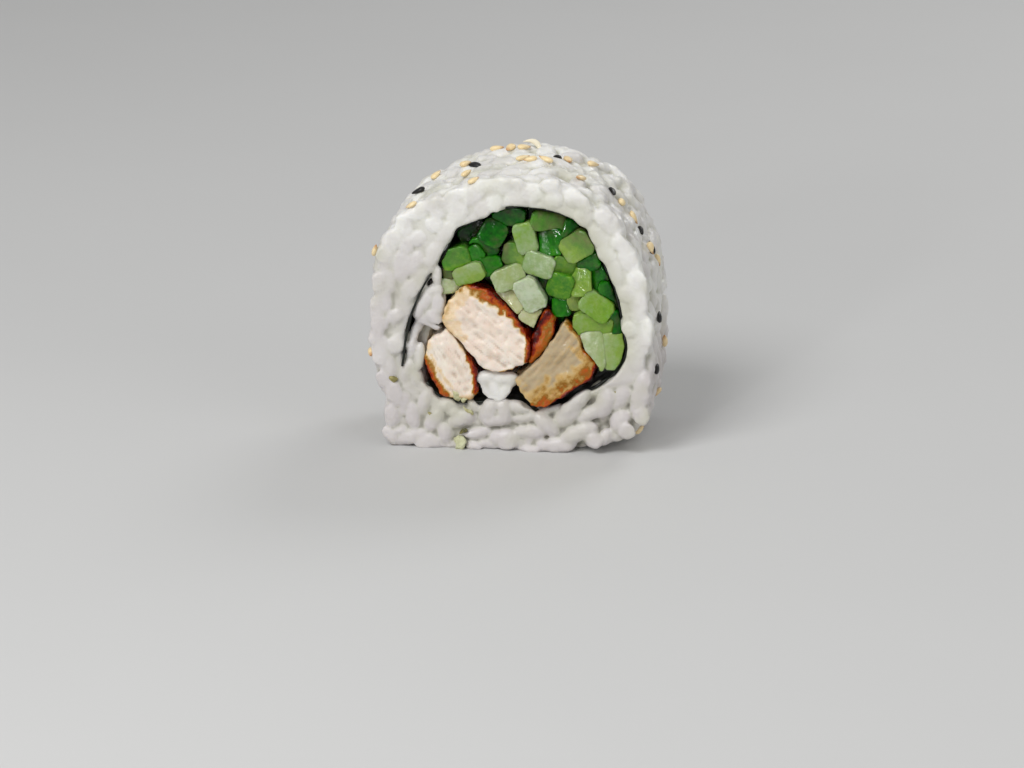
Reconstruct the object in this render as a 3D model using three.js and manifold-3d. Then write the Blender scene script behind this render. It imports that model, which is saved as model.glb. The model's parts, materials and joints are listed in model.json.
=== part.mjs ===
// One cut piece of an inside-out sushi roll: sticky rice with sesame outside, a sheet of nori inside
// it, and cucumber sticks and teriyaki chicken in the middle, all running the length of the piece.
//
// Millimetres. X runs across the cut face, Y along the roll and away from the viewer, Z up.
// The origin is the middle of the flat underside. Every filling is its own solid.

import * as THREE from "three";
import { mergeVertices } from "three/addons/utils/BufferGeometryUtils.js";
import Module from "manifold-3d";

const wasm = await Module();
wasm.setup();

// ---------------------------------------------------------------- driving dimensions

const ROLL = { width: 46, height: 46, length: 25 };
const CLEARANCE = 0.3; // left between solids that touch in the real roll
const NORI_THICKNESS = 0.4;
const GRAIN = { length: 7.4, width: 3.1, thickness: 2.7 };
const SEED = { length: 3.1, width: 1.9, thickness: 1.5 };
const RELIEF = 0.9; // how far the grains stand out of the packed rice under them
const GRAIN_VARIATION = 0.12; // share by which grains differ in size
const GRAIN_TILT = 0.12; // radians by which a grain may leave the surface it lies in
const TURN_ATTEMPTS = 12;
const OUTER_GRAINS = { around: 19, along: 5 };
const END_GRAIN_SPACING = 5.3;
const SEED_COUNT = 42;
const PARTS_SEED = 20;

const SECTION = { around: 48, noriSteps: 44 };
const OVERRUN = 4; // how far a cutting solid runs past what it cuts

// Places on the cut face are shares: u from -1 to 1 across the width, v from 0 to 1 up the height.
const HALF_WIDTH = ROLL.width / 2;
const HALF_LENGTH = ROLL.length / 2;
const onFace = ([u, v]) => new THREE.Vector2(u * HALF_WIDTH, v * ROLL.height);

// The outside of the rice, from the right end of the flat underside and up over the top. The sheet's
// outer end hangs on the left as a flap, and the roll steps in below it.
const UNDERSIDE = { left: -0.83, right: 0.36 };
const OUTSIDE = [
  [UNDERSIDE.right, 0], [0.6, 0.02], [0.83, 0.055], [0.95, 0.115], [1, 0.21], [1.005, 0.3],
  [1, 0.42], [0.985, 0.55], [0.92, 0.7], [0.77, 0.845], [0.53, 0.95], [0.2, 1], [-0.13, 0.99],
  [-0.46, 0.945], [-0.74, 0.865], [-0.93, 0.745], [-0.995, 0.6], [-1, 0.43], [-0.985, 0.3],
  [-0.95, 0.215], [-0.885, 0.195], [-0.9, 0.1], [-0.89, 0.035], [UNDERSIDE.left, 0],
];

// The nori, from the bottom of the slit behind the flap, up, over and round to the far side of the
// tail of rice that stands in the slit.
const NORI_PATH = [
  [-0.77, 0.3], [-0.745, 0.4], [-0.7, 0.49], [-0.65, 0.56], [-0.545, 0.65], [-0.46, 0.72],
  [-0.385, 0.795], [-0.22, 0.835], [-0.08, 0.88], [0.14, 0.887], [0.36, 0.866], [0.55, 0.81],
  [0.65, 0.7], [0.75, 0.585], [0.8, 0.46], [0.82, 0.375], [0.74, 0.295], [0.55, 0.222],
  [0.3, 0.15], [0.14, 0.146], [0.03, 0.17], [-0.14, 0.172], [-0.33, 0.168], [-0.49, 0.18],
  [-0.6, 0.235],
];

// The tail of rice inside the slit, under its loose clump of grains.
const TAIL = [
  [-0.75, 0.22], [-0.5, 0.2], [-0.585, 0.29], [-0.64, 0.35], [-0.6, 0.42], [-0.515, 0.45],
  [-0.49, 0.52], [-0.53, 0.585], [-0.59, 0.575], [-0.65, 0.49], [-0.69, 0.38],
];

// ---------------------------------------------------------------- fillings

// Pieces of chicken and the clump of rice between them, as outlines on the cut face.
const MEAT = [
  {
    name: "chicken_large",
    outline: [
      [-0.335, 0.6], [-0.235, 0.61], [-0.15, 0.59], [-0.065, 0.55], [0.04, 0.5], [0.11, 0.45],
      [0.145, 0.4], [0.12, 0.325], [0.02, 0.301], [-0.09, 0.288], [-0.19, 0.3], [-0.28, 0.345],
      [-0.43, 0.44], [-0.485, 0.47], [-0.455, 0.525], [-0.4, 0.568],
    ],
    drift: [0.4, -0.5],
    recess: 0,
  },
  {
    name: "chicken_left",
    outline: [
      [-0.576, 0.395], [-0.455, 0.435], [-0.39, 0.416], [-0.29, 0.334], [-0.23, 0.29],
      [-0.237, 0.21], [-0.28, 0.188], [-0.38, 0.187], [-0.47, 0.19], [-0.56, 0.22], [-0.635, 0.265],
      [-0.63, 0.315],
    ],
    drift: [-0.3, 0.3],
    recess: 0.3,
  },
  {
    name: "chicken_right",
    outline: [
      [0.395, 0.485], [0.488, 0.43], [0.53, 0.375], [0.625, 0.325], [0.575, 0.27], [0.42, 0.22],
      [0.26, 0.167], [0.15, 0.165], [0.074, 0.216], [0.03, 0.262], [0.09, 0.29], [0.22, 0.345],
      [0.345, 0.445],
    ],
    drift: [0.3, 0.4],
    recess: 0.2,
  },
  {
    name: "chicken_skin",
    outline: [
      [0.254, 0.525], [0.314, 0.49], [0.318, 0.45], [0.275, 0.4], [0.212, 0.352], [0.155, 0.308],
      [0.129, 0.323], [0.14, 0.385], [0.16, 0.43], [0.2, 0.49],
    ],
    drift: [0.2, -0.3],
    recess: 0.9,
  },
  {
    name: "rice_lump",
    outline: [
      [-0.235, 0.258], [-0.19, 0.273], [0.02, 0.281], [0.025, 0.25], [0.005, 0.21], [-0.05, 0.182],
      [-0.15, 0.18], [-0.2, 0.205],
    ],
    drift: [0.2, 0.1],
    recess: 0.4,
  },
];

// Cucumber sticks: the middle of the cut end, its width and height in millimetres, how far the
// section is turned in degrees, and how far the end stands behind the cut face.
const STICKS = [
  { at: [0.2, 0.683], wide: 4.3, tall: 3.3, turn: -15, recess: 0.1 },
  { at: [0.105, 0.775], wide: 2.8, tall: 4.4, turn: 15, recess: 0.3 },
  { at: [-0.01, 0.632], wide: 4.5, tall: 3.1, turn: 22, recess: 0.2 },
  { at: [0.14, 0.575], wide: 3.4, tall: 4.9, turn: 28, recess: 0 },
  { at: [0.0, 0.553], wide: 4.2, tall: 2.4, turn: -42, recess: 0.4 },
  { at: [0.152, 0.495], wide: 3.2, tall: 2.4, turn: -28, recess: 0.7 },
  { at: [0.035, 0.713], wide: 3.7, tall: 3.1, turn: -8, recess: 1.1 },
  { at: [-0.02, 0.85], wide: 4.6, tall: 2.6, turn: -6, recess: 1.5 },
  { at: [-0.125, 0.79], wide: 3.5, tall: 3.4, turn: -28, recess: 0.9 },
  { at: [-0.19, 0.735], wide: 3.7, tall: 2.9, turn: 12, recess: 1.2 },
  { at: [-0.39, 0.695], wide: 3.9, tall: 2.9, turn: 18, recess: 0.5 },
  { at: [-0.255, 0.71], wide: 2.4, tall: 2.3, turn: 38, recess: 0.9 },
  { at: [-0.15, 0.668], wide: 3.2, tall: 2.6, turn: 6, recess: 0.6 },
  { at: [-0.295, 0.642], wide: 4.6, tall: 2.6, turn: 24, recess: 0.2 },
  { at: [-0.435, 0.632], wide: 2.1, tall: 2.1, turn: 8, recess: 1.3 },
  { at: [-0.435, 0.592], wide: 2.9, tall: 1.9, turn: 8, recess: 0.8 },
  { at: [0.26, 0.833], wide: 4.7, tall: 2.5, turn: -8, recess: 1.3 },
  { at: [0.285, 0.763], wide: 3.2, tall: 3.5, turn: 6, recess: 0.9 },
  { at: [0.41, 0.815], wide: 2.5, tall: 2.2, turn: 16, recess: 1.6 },
  { at: [0.465, 0.752], wide: 4.5, tall: 3.7, turn: 32, recess: 0.4 },
  { at: [0.38, 0.68], wide: 3.2, tall: 2.4, turn: -18, recess: 0.7 },
  { at: [0.53, 0.693], wide: 3.7, tall: 2.5, turn: 26, recess: 1.0 },
  { at: [0.35, 0.607], wide: 3.5, tall: 3.7, turn: -14, recess: 0.3 },
  { at: [0.49, 0.625], wide: 3.1, tall: 3.9, turn: 4, recess: 0.8 },
  { at: [0.612, 0.635], wide: 3.6, tall: 4.2, turn: 16, recess: 1.1 },
  { at: [0.48, 0.553], wide: 3.0, tall: 2.6, turn: 10, recess: 1.2 },
  { at: [0.61, 0.54], wide: 4.7, tall: 3.2, turn: -36, recess: 0 },
  { at: [0.7, 0.575], wide: 2.4, tall: 4.4, turn: 12, recess: 0.7 },
  { at: [0.36, 0.53], wide: 2.5, tall: 2.6, turn: 5, recess: 1.5 },
  { at: [0.585, 0.465], wide: 5.6, tall: 3.4, turn: -6, recess: 0.5 },
  { at: [0.742, 0.475], wide: 2.1, tall: 3.8, turn: 8, recess: 0.8 },
  { at: [0.585, 0.378], wide: 3.5, tall: 5.4, turn: 4, recess: 0.1 },
  { at: [0.735, 0.38], wide: 3.3, tall: 5.2, turn: 6, recess: 0.2 },
  { at: [-0.29, 0.775], wide: 4.0, tall: 3.9, turn: 30, recess: 4.0 },
  { at: [0.12, 0.85], wide: 3.2, tall: 2.4, turn: 0, recess: 3.5 },
  { at: [-0.16, 0.618], wide: 3.5, tall: 3.0, turn: -30, recess: 3.0 },
  { at: [0.225, 0.6], wide: 2.8, tall: 4.2, turn: 15, recess: 2.2 },
  { at: [0.27, 0.54], wide: 3.0, tall: 3.0, turn: 40, recess: 3.0 },
  { at: [0.365, 0.485], wide: 3.3, tall: 2.6, turn: 10, recess: 3.2 },
  { at: [0.14, 0.455], wide: 3.0, tall: 3.0, turn: 40, recess: 3.5 },
];

const STICK_SIDES = 8;
const STICK_FULLNESS = 1.12; // sticks press against each other, which shapes them where they meet
const STICK_SQUARENESS = 0.42; // exponent of the section: 1 is round, towards 0 is square
const STICK_DRIFT = 0.5; // how far a stick strays from straight ahead
const BACK_RECESS = 1.1; // how far at most an end stands behind the far cut face
const SMALLEST_SHARE = 0.1; // share of a filling that its neighbours must leave whole

// ---------------------------------------------------------------- small helpers

// A repeatable random draw between 0 and 1 (mulberry32).
function dice(seed) {
  let state = seed >>> 0;
  return () => {
    state = (state + 0x6d2b79f5) >>> 0;
    let t = Math.imul(state ^ (state >>> 15), state | 1);
    t ^= t + Math.imul(t ^ (t >>> 7), t | 61);
    return ((t ^ (t >>> 14)) >>> 0) / 4294967296;
  };
}

const random = dice(PARTS_SEED);
const spread = (reach) => (2 * random() - 1) * reach;

function toSolid(geometry) {
  const bare = geometry.clone();
  bare.deleteAttribute("normal");
  bare.deleteAttribute("uv");
  const merged = mergeVertices(bare, 1e-4);
  return new wasm.Manifold(
    new wasm.Mesh({
      numProp: 3,
      vertProperties: new Float32Array(merged.attributes.position.array),
      triVerts: new Uint32Array(merged.index.array),
    }),
  );
}

function toGeometry(solid) {
  const mesh = solid.getMesh();
  return new THREE.BufferGeometry()
    .setAttribute("position", new THREE.BufferAttribute(mesh.vertProperties, mesh.numProp))
    .setIndex(new THREE.BufferAttribute(mesh.triVerts, 1));
}

const join = (solids) => wasm.Manifold.union(solids);

// The largest piece of a solid: loose scraps that a cut leaves are dropped.
function largest(solid) {
  return solid.decompose().reduce((a, b) => (a.volume() > b.volume() ? a : b));
}

// An outline on the cut face, extruded along the roll between two places on Y.
function extrudeOutline(points, front, back) {
  const geometry = new THREE.ExtrudeGeometry(new THREE.Shape(points), {
    depth: back - front,
    bevelEnabled: false,
  });
  geometry.rotateX(Math.PI / 2).translate(0, back, 0);
  return toSolid(geometry);
}

const curveThrough = (places, closed = false) =>
  new THREE.CatmullRomCurve3(
    places.map(onFace).map((p) => new THREE.Vector3(p.x, p.y, 0)),
    closed,
    "centripetal",
  );

const samples = (curve, count) =>
  curve.getSpacedPoints(count).map((p) => new THREE.Vector2(p.x, p.y));

// The unit vectors along and to the right of a run of points at one of them.
function directionsAt(points, i, closed) {
  const last = points.length - 1;
  const before = closed ? points[(i + last) % (last + 1)] : points[Math.max(i - 1, 0)];
  const after = closed ? points[(i + 1) % (last + 1)] : points[Math.min(i + 1, last)];
  const along = after.clone().sub(before).normalize();
  return { along, right: new THREE.Vector2(along.y, -along.x) };
}

const shifted = (points, reach, closed = false) =>
  points.map((p, i) => p.clone().addScaledVector(directionsAt(points, i, closed).right, reach));

// A strip of even thickness along an open run of points.
function strip(points, thickness) {
  return [
    ...shifted(points, thickness / 2),
    ...shifted(points, -thickness / 2).reverse(),
  ];
}

function contains(outline, p) {
  let inside = false;
  outline.forEach((a, i) => {
    const b = outline[(i + 1) % outline.length];
    const crosses = a.y > p.y !== b.y > p.y;
    if (crosses && p.x < ((b.x - a.x) * (p.y - a.y)) / (b.y - a.y) + a.x) inside = !inside;
  });
  return inside;
}

// ---------------------------------------------------------------- outlines of the section

const outside = samples(curveThrough(OUTSIDE), SECTION.around);
const packedOutside = shifted(outside, -RELIEF, true).map(
  (p) => new THREE.Vector2(p.x, p.y < RELIEF * 1.5 ? 0 : p.y),
);
const noriLine = samples(curveThrough(NORI_PATH), SECTION.noriSteps);
const hollow = noriLine;

const nori = extrudeOutline(
  strip(noriLine, NORI_THICKNESS),
  -HALF_LENGTH + CLEARANCE,
  HALF_LENGTH - CLEARANCE,
);
const noriRoom = extrudeOutline(
  strip(noriLine, NORI_THICKNESS + 2 * CLEARANCE),
  -HALF_LENGTH - OVERRUN,
  HALF_LENGTH + OVERRUN,
);
const hollowRoom = extrudeOutline(hollow, -HALF_LENGTH - OVERRUN, HALF_LENGTH + OVERRUN);
const tail = TAIL.map(onFace);
const tailRoom = extrudeOutline(tail, -HALF_LENGTH - OVERRUN, HALF_LENGTH + OVERRUN);

// ---------------------------------------------------------------- fillings

// A closed skin over a run of sections, each a ring of points round the roll's length.
function loft(sections) {
  const sides = sections[0].length;
  const rings = sections.length;
  const positions = sections.flat().flatMap((p) => [p.x, p.y, p.z]);
  const index = [];
  for (let r = 0; r < rings - 1; r++)
    for (let s = 0; s < sides; s++) {
      const a = r * sides + s;
      const b = r * sides + ((s + 1) % sides);
      index.push(a, a + sides, b, b, a + sides, b + sides);
    }
  const cap = THREE.ShapeUtils.triangulateShape(
    sections[0].map((p) => new THREE.Vector2(p.x, p.z)),
    [],
  );
  const lastRing = (rings - 1) * sides;
  for (const [a, b, c] of cap) {
    index.push(a, b, c);
    index.push(lastRing + a, lastRing + c, lastRing + b);
  }
  return new THREE.BufferGeometry()
    .setAttribute("position", new THREE.Float32BufferAttribute(positions, 3))
    .setIndex(index);
}

// The corners of a stick's section, a rounded rectangle about the origin.
function stickSection({ wide, tall, turn }) {
  return Array.from({ length: STICK_SIDES }, (_, i) => {
    const angle = ((i + 0.5) / STICK_SIDES) * 2 * Math.PI;
    const eased = (c) => Math.sign(c) * Math.abs(c) ** STICK_SQUARENESS;
    const corner = new THREE.Vector2(
      (eased(Math.cos(angle)) * wide * STICK_FULLNESS) / 2,
      (eased(Math.sin(angle)) * tall * STICK_FULLNESS) / 2,
    );
    return corner.rotateAround(new THREE.Vector2(), THREE.MathUtils.degToRad(turn));
  });
}

// A filling along the roll, whose far end lies a little aside of its near end. "grow" makes
// the same filling fatter, as the room that its neighbours leave for it.
function filling(section, { middle, drift, recess, backRecess }, grow = 0) {
  const outline = shifted(section, grow, true);
  const ring = (y, share) =>
    outline.map(
      (p) =>
        new THREE.Vector3(middle.x + p.x + drift[0] * share, y, middle.y + p.y + drift[1] * share),
    );
  return [ring(recess - HALF_LENGTH - grow, 0), ring(HALF_LENGTH - backRecess + grow, 1)];
}

const nearestFirst = (sticks) => [...sticks].sort((a, b) => a.recess - b.recess);

const fillings = [
  ...MEAT.map((piece) => ({
    name: piece.name,
    section: piece.outline.map(onFace).reverse(),
    lie: {
      middle: new THREE.Vector2(),
      drift: piece.drift,
      recess: piece.recess,
      backRecess: random() * BACK_RECESS,
    },
  })),
  ...nearestFirst(STICKS).map((stick, i) => ({
    name: `cucumber_${String(i + 1).padStart(2, "0")}`,
    section: stickSection(stick),
    lie: {
      middle: onFace(stick.at),
      drift: [spread(STICK_DRIFT), spread(STICK_DRIFT)],
      recess: stick.recess,
      backRecess: random() * BACK_RECESS,
    },
  })),
];

// Each filling is cut back where it would run into one placed before it, or into the nori.
function packFillings() {
  const rooms = [];
  const insideNori = hollowRoom.subtract(noriRoom).subtract(tailRoom);
  return fillings.map(({ name, section, lie }) => {
    const whole = toSolid(loft(filling(section, lie)));
    const room = toSolid(loft(filling(section, lie, CLEARANCE)));
    let solid = whole.intersect(insideNori);
    for (const other of rooms) solid = solid.subtract(other);
    solid = largest(solid);
    if (solid.volume() < SMALLEST_SHARE * whole.volume())
      throw new Error(`${name} has too little room between its neighbours`);
    rooms.push(room);
    return { name, solid, room };
  });
}

// ---------------------------------------------------------------- rice and sesame

// An ellipsoid with few sides, its long axis along X and its thickness along Z.
function pip({ length, width, thickness }, around, along) {
  const geometry = new THREE.SphereGeometry(0.5, around, along);
  geometry.rotateZ(Math.PI / 2).rotateX(spread(Math.PI));
  return geometry.scale(length, width, thickness);
}

// The turn that points a pip's thickness along "out", with its long axis turned by "heading".
function turnOf(out, heading, tilt = 0) {
  const facing = new THREE.Quaternion().setFromUnitVectors(new THREE.Vector3(0, 0, 1), out);
  return facing.multiply(
    new THREE.Quaternion().setFromEuler(new THREE.Euler(0, tilt, heading, "ZYX")),
  );
}

const lay = (geometry, place, turn) =>
  toSolid(geometry.applyQuaternion(turn).translate(place.x, place.y, place.z));

// A grain at a place, turned at random until both of its ends lie where "fits" allows. Where no
// turn fits, there is no grain.
function grain(place, out, fits) {
  const size = 1 + spread(GRAIN_VARIATION);
  const reach = (GRAIN.length * size) / 2;
  const shape = {
    length: 2 * reach,
    width: GRAIN.width * (1 + spread(GRAIN_VARIATION)),
    thickness: GRAIN.thickness,
  };
  for (let attempt = 0; attempt < TURN_ATTEMPTS; attempt++) {
    const turn = turnOf(out, spread(Math.PI), spread(GRAIN_TILT));
    const axis = new THREE.Vector3(0.9 * reach, 0, 0).applyQuaternion(turn);
    const ends = [place.clone().add(axis), place.clone().sub(axis)];
    if (ends.every(fits)) return [lay(pip(shape, 5, 4), place, turn)];
  }
  return [];
}

// A place on the outside of the roll, "share" of the way round it, with the way out of the rice.
function onOutside(share, y, depth) {
  const i = Math.round(share * (outside.length - 1));
  const { right } = directionsAt(outside, i, false);
  const p = outside[i].clone().addScaledVector(right, -depth);
  return { place: new THREE.Vector3(p.x, y, p.y), out: new THREE.Vector3(right.x, 0, right.y) };
}

function outerGrains() {
  const { around, along } = OUTER_GRAINS;
  const fits = (end) => Math.abs(end.y) < HALF_LENGTH && end.z > 0;
  const grains = [];
  for (let i = 0; i < around; i++)
    for (let j = 0; j < along; j++) {
      const share = (i + 0.5 * (j % 2) + 0.5 + spread(0.2)) / (around + 0.5);
      const y = ((j + 0.5 + spread(0.2)) / along - 0.5) * ROLL.length;
      const { place, out } = onOutside(share, y, GRAIN.thickness / 2);
      grains.push(...grain(place, out, fits));
    }
  return grains;
}

// Grains on the two cut ends, on a staggered grid over the ring of rice and its tail.
function endGrains() {
  const onRice = (p) => {
    const flat = new THREE.Vector2(p.x, p.z);
    return (contains(outside, flat) && !contains(hollow, flat)) || contains(tail, flat);
  };
  const grains = [];
  const step = END_GRAIN_SPACING;
  for (const side of [-1, 1])
    for (let row = 0, z = step / 2; z < ROLL.height; z += step * 0.86, row++)
      for (let x = -HALF_WIDTH + (row % 2) * (step / 2); x < HALF_WIDTH; x += step) {
        const y = side * (HALF_LENGTH - GRAIN.thickness / 2);
        const place = new THREE.Vector3(x + spread(0.7), y, z + spread(0.7));
        if (onRice(place)) grains.push(...grain(place, new THREE.Vector3(0, side, 0), onRice));
      }
  return grains;
}

// Seeds scattered over the outside by the golden ratio, clear of the underside.
function sesameSeeds() {
  return Array.from({ length: SEED_COUNT }, (_, i) => {
    const share = 0.06 + (0.84 * (i + 0.5 + spread(0.4))) / SEED_COUNT;
    const y = (((i * 0.618) % 1) - 0.5) * (ROLL.length - SEED.length);
    const { place, out } = onOutside(share, y, SEED.thickness * 0.25);
    return lay(pip(SEED, 4, 3), place, turnOf(out, spread(Math.PI)));
  });
}

function rollRice(rooms) {
  const reach = HALF_LENGTH - RELIEF;
  const packed = extrudeOutline(packedOutside, -reach, reach);
  const tailCore = extrudeOutline(tail, -reach, reach);
  const everything = join([packed, tailCore, ...outerGrains(), ...endGrains(), ...sesameSeeds()]);
  const floor = toSolid(
    new THREE.BoxGeometry(3 * ROLL.width, 3 * ROLL.length, ROLL.height)
      .translate(0, 0, -ROLL.height / 2),
  );
  const emptied = hollowRoom.subtract(tailRoom);
  return largest(everything.subtract(join([noriRoom, emptied, floor, ...rooms])));
}

// ---------------------------------------------------------------- the piece of roll

const finish = (color, roughness) =>
  new THREE.MeshStandardMaterial({ color, roughness, metalness: 0 });

const FINISHES = {
  rice: finish(0xe6e4de, 0.45),
  nori: finish(0x10180f, 0.5),
  cucumber: finish(0x6d9a3c, 0.35),
  chicken: finish(0xdcc8ae, 0.5),
};

function finishFor(name) {
  const kind = name.split("_")[0];
  return FINISHES[kind];
}

function part(name, solid) {
  const mesh = new THREE.Mesh(toGeometry(solid), finishFor(name));
  mesh.name = name;
  return mesh;
}

const packedFillings = packFillings();
const roll = new THREE.Group();
roll.add(part("rice", rollRice(packedFillings.map((f) => f.room))));
roll.add(part("nori", nori));
for (const { name, solid } of packedFillings) roll.add(part(name, solid));

export default roll;
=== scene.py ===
"""The looks of one cut piece of inside-out sushi roll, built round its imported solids.

Every place is in metres in the solids' own frame: X across the cut face, Y along the roll and away
from the viewer, Z up. Outlines on the cut face are shares of the roll's width and height.
"""

import json
import math

import bpy
import numpy as np
from bpy.props import FloatProperty, FloatVectorProperty, IntProperty, PointerProperty
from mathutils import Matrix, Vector, noise
from mathutils.bvhtree import BVHTree
from mathutils.geometry import tessellate_polygon
from mathutils.kdtree import KDTree

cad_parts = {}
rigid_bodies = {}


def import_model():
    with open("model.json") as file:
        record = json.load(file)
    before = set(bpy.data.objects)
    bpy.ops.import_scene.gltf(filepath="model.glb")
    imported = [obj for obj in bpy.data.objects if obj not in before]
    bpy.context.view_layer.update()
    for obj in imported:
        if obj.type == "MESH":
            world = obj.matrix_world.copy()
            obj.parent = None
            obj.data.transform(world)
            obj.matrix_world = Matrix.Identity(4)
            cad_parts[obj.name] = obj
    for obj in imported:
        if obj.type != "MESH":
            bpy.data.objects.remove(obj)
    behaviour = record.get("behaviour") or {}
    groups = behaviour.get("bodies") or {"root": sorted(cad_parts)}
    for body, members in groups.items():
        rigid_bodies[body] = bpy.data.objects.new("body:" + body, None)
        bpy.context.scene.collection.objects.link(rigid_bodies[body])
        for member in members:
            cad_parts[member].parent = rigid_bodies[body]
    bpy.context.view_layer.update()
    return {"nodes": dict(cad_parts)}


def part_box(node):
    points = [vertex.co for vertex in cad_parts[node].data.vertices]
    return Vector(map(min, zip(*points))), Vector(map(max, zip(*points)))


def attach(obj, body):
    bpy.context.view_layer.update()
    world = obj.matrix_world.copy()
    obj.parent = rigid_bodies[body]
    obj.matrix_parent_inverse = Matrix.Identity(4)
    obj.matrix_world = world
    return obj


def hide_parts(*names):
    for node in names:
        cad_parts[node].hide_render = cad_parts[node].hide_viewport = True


bl_info = {
    "name": "Inside-out sushi roll",
    "version": (1, 0, 0),
    "blender": (4, 5, 0),
    "location": "3D View > Sidebar > Sushi",
    "description": "Dresses one cut piece of inside-out roll: rice, sesame, nori, cucumber, chicken",
    "category": "Add Mesh",
}

for leftover in list(bpy.data.objects):
    bpy.data.objects.remove(leftover)

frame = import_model()

MM = 0.001

# ---- sizes and places

ROLL_WIDTH = 46 * MM
ROLL_HEIGHT = 46 * MM
CUT = 12.5 * MM  # how far each cut face lies from the middle of the roll's length
OUTLINE_STEP = 0.8 * MM  # between the points of the outlines

# Shares: u from -1 to 1 across the width, v from 0 to 1 up the height.
OUTSIDE = [
    (0.36, 0), (0.6, 0.02), (0.83, 0.055), (0.95, 0.115), (1, 0.21), (1.005, 0.3), (1, 0.42),
    (0.985, 0.55), (0.92, 0.7), (0.77, 0.845), (0.53, 0.95), (0.2, 1), (-0.13, 0.99), (-0.46, 0.945),
    (-0.74, 0.865), (-0.93, 0.745), (-0.995, 0.6), (-1, 0.43), (-0.985, 0.3), (-0.95, 0.215),
    (-0.885, 0.195), (-0.9, 0.1), (-0.89, 0.035), (-0.83, 0),
]
NORI_PATH = [
    (-0.77, 0.3), (-0.745, 0.4), (-0.7, 0.49), (-0.65, 0.56), (-0.545, 0.65), (-0.46, 0.72),
    (-0.385, 0.795), (-0.22, 0.835), (-0.08, 0.88), (0.14, 0.887), (0.36, 0.866), (0.55, 0.81),
    (0.65, 0.7), (0.75, 0.585), (0.8, 0.46), (0.82, 0.375), (0.74, 0.295), (0.55, 0.222), (0.3, 0.15),
    (0.14, 0.146), (0.03, 0.17), (-0.14, 0.172), (-0.33, 0.168), (-0.49, 0.18), (-0.6, 0.235),
]
TAIL = [
    (-0.76, 0.24), (-0.6, 0.215), (-0.635, 0.28), (-0.625, 0.35), (-0.585, 0.42), (-0.515, 0.445),
    (-0.485, 0.52), (-0.51, 0.6), (-0.49, 0.66), (-0.54, 0.64), (-0.6, 0.59), (-0.655, 0.52),
    (-0.69, 0.43), (-0.735, 0.34),
]

# Grains that show singly in the cut face: place, direction in degrees, length, width and depth in
# millimetres. The first rows are the clump behind the flap, the others lie along the bottom.
SINGLE_GRAINS = [
    (-0.515, 0.53, 82, 5.4, 2.7, 0), (-0.6, 0.537, 75, 4.8, 2.9, 0.2), (-0.555, 0.575, 15, 4, 2, 0.3),
    (-0.53, 0.475, 130, 4.6, 2.5, 0.1), (-0.495, 0.452, 15, 3.6, 2, 0.5),
    (-0.6, 0.485, 60, 3.6, 2, 0.5), (-0.515, 0.64, 95, 2.8, 1.3, 0.4),
    (-0.65, 0.335, 86, 4.8, 1.8, 0.2), (-0.6, 0.41, 50, 3.6, 2.2, 4.2),
    (-0.694, 0.41, 78, 4.6, 1.6, 0.8), (-0.714, 0.345, 78, 4.8, 1.6, 0.5),
    (-0.522, 0.617, 100, 2.6, 1.5, 0.35), (-0.77, 0.03, 5, 5.6, 2.8, 0.1),
    (-0.74, 0.275, 70, 5, 2.6, 0.1), (-0.68, 0.25, 100, 4.6, 2.8, 0.2), (-0.645, 0.51, 72, 4.2, 2, 0.2),
    (-0.655, 0.455, 74, 3.6, 1.8, 1.2), (-0.84, 0.13, 84, 6, 3.2, 0), (-0.77, 0.16, 78, 6.2, 3.2, 0.1),
    (-0.7, 0.12, 95, 6, 3.2, 0), (-0.62, 0.16, 75, 6, 3, 0.1), (-0.55, 0.1, 60, 5.6, 3.2, 0),
    (-0.82, 0.05, 20, 5, 3, 0.2), (-0.68, 0.045, 0, 5.2, 3, 0.1), (-0.47, 0.055, 95, 4.6, 3.2, 0.1),
    (-0.5, 0.15, 20, 5, 2.8, 0.2), (-0.43, 0.14, -30, 4.4, 2.4, 0.3), (0.454, 0.178, 47, 7.1, 2.9, 0.2),
    (0.593, 0.151, 30, 7, 2.4, 0.5), (0.483, 0.071, 25, 7.2, 2.9, 0), (0.789, 0.126, 60, 4.8, 3.5, 0.2),
    (0.598, 0.047, 12, 3.4, 1.9, 0.7), (0.68, 0.058, 80, 3.2, 2.2, 0.4),
    (0.768, 0.07, 60, 3.2, 2.4, 0.8), (0.723, 0.254, 75, 3, 2.2, 1.4), (0.61, 0.228, 60, 3.2, 2, 2.2),
    (0.261, 0.098, -42, 5.4, 2.9, 0.1), (0.133, 0.069, 5, 6, 2.7, 0.1),
    (0.061, 0.03, 40, 2.6, 1.8, 0.5), (0.13, 0.034, 70, 2.8, 1.8, 0.4),
    (0.205, 0.032, 105, 3, 1.8, 0.6), (0.278, 0.152, 15, 4.2, 1.9, 1.3),
    (-0.233, 0.057, 12, 4.8, 1.9, 0.2), (-0.145, 0.145, 65, 5, 3.2, 0),
    (-0.05, 0.14, 100, 4.8, 3.2, 0.1), (-0.09, 0.113, 8, 5.2, 2.5, 0.1),
    (-0.052, 0.043, 4, 5.8, 3.2, 0), (-0.36, 0.108, 25, 5.2, 3.2, 0),
    (-0.269, 0.158, -48, 2.8, 1.5, 0.8), (0.068, 0.16, 10, 4.8, 3, 0.3), (0.1, 0.122, 12, 5, 1.9, 0.4),
]
# The same for the clump between the pieces of chicken, placed in shares of its box from its middle.
LUMP_GRAINS = [
    (-0.24, 0.3, 12, 4.6, 2.6, 0.1), (0.26, 0.26, -8, 4.4, 2.6, 0), (-0.06, -0.05, 118, 4.4, 2.6, 0),
    (0.2, -0.06, 66, 4.2, 2.4, 0.1), (0.05, -0.3, 92, 3.2, 2, 0.2),
]
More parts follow.
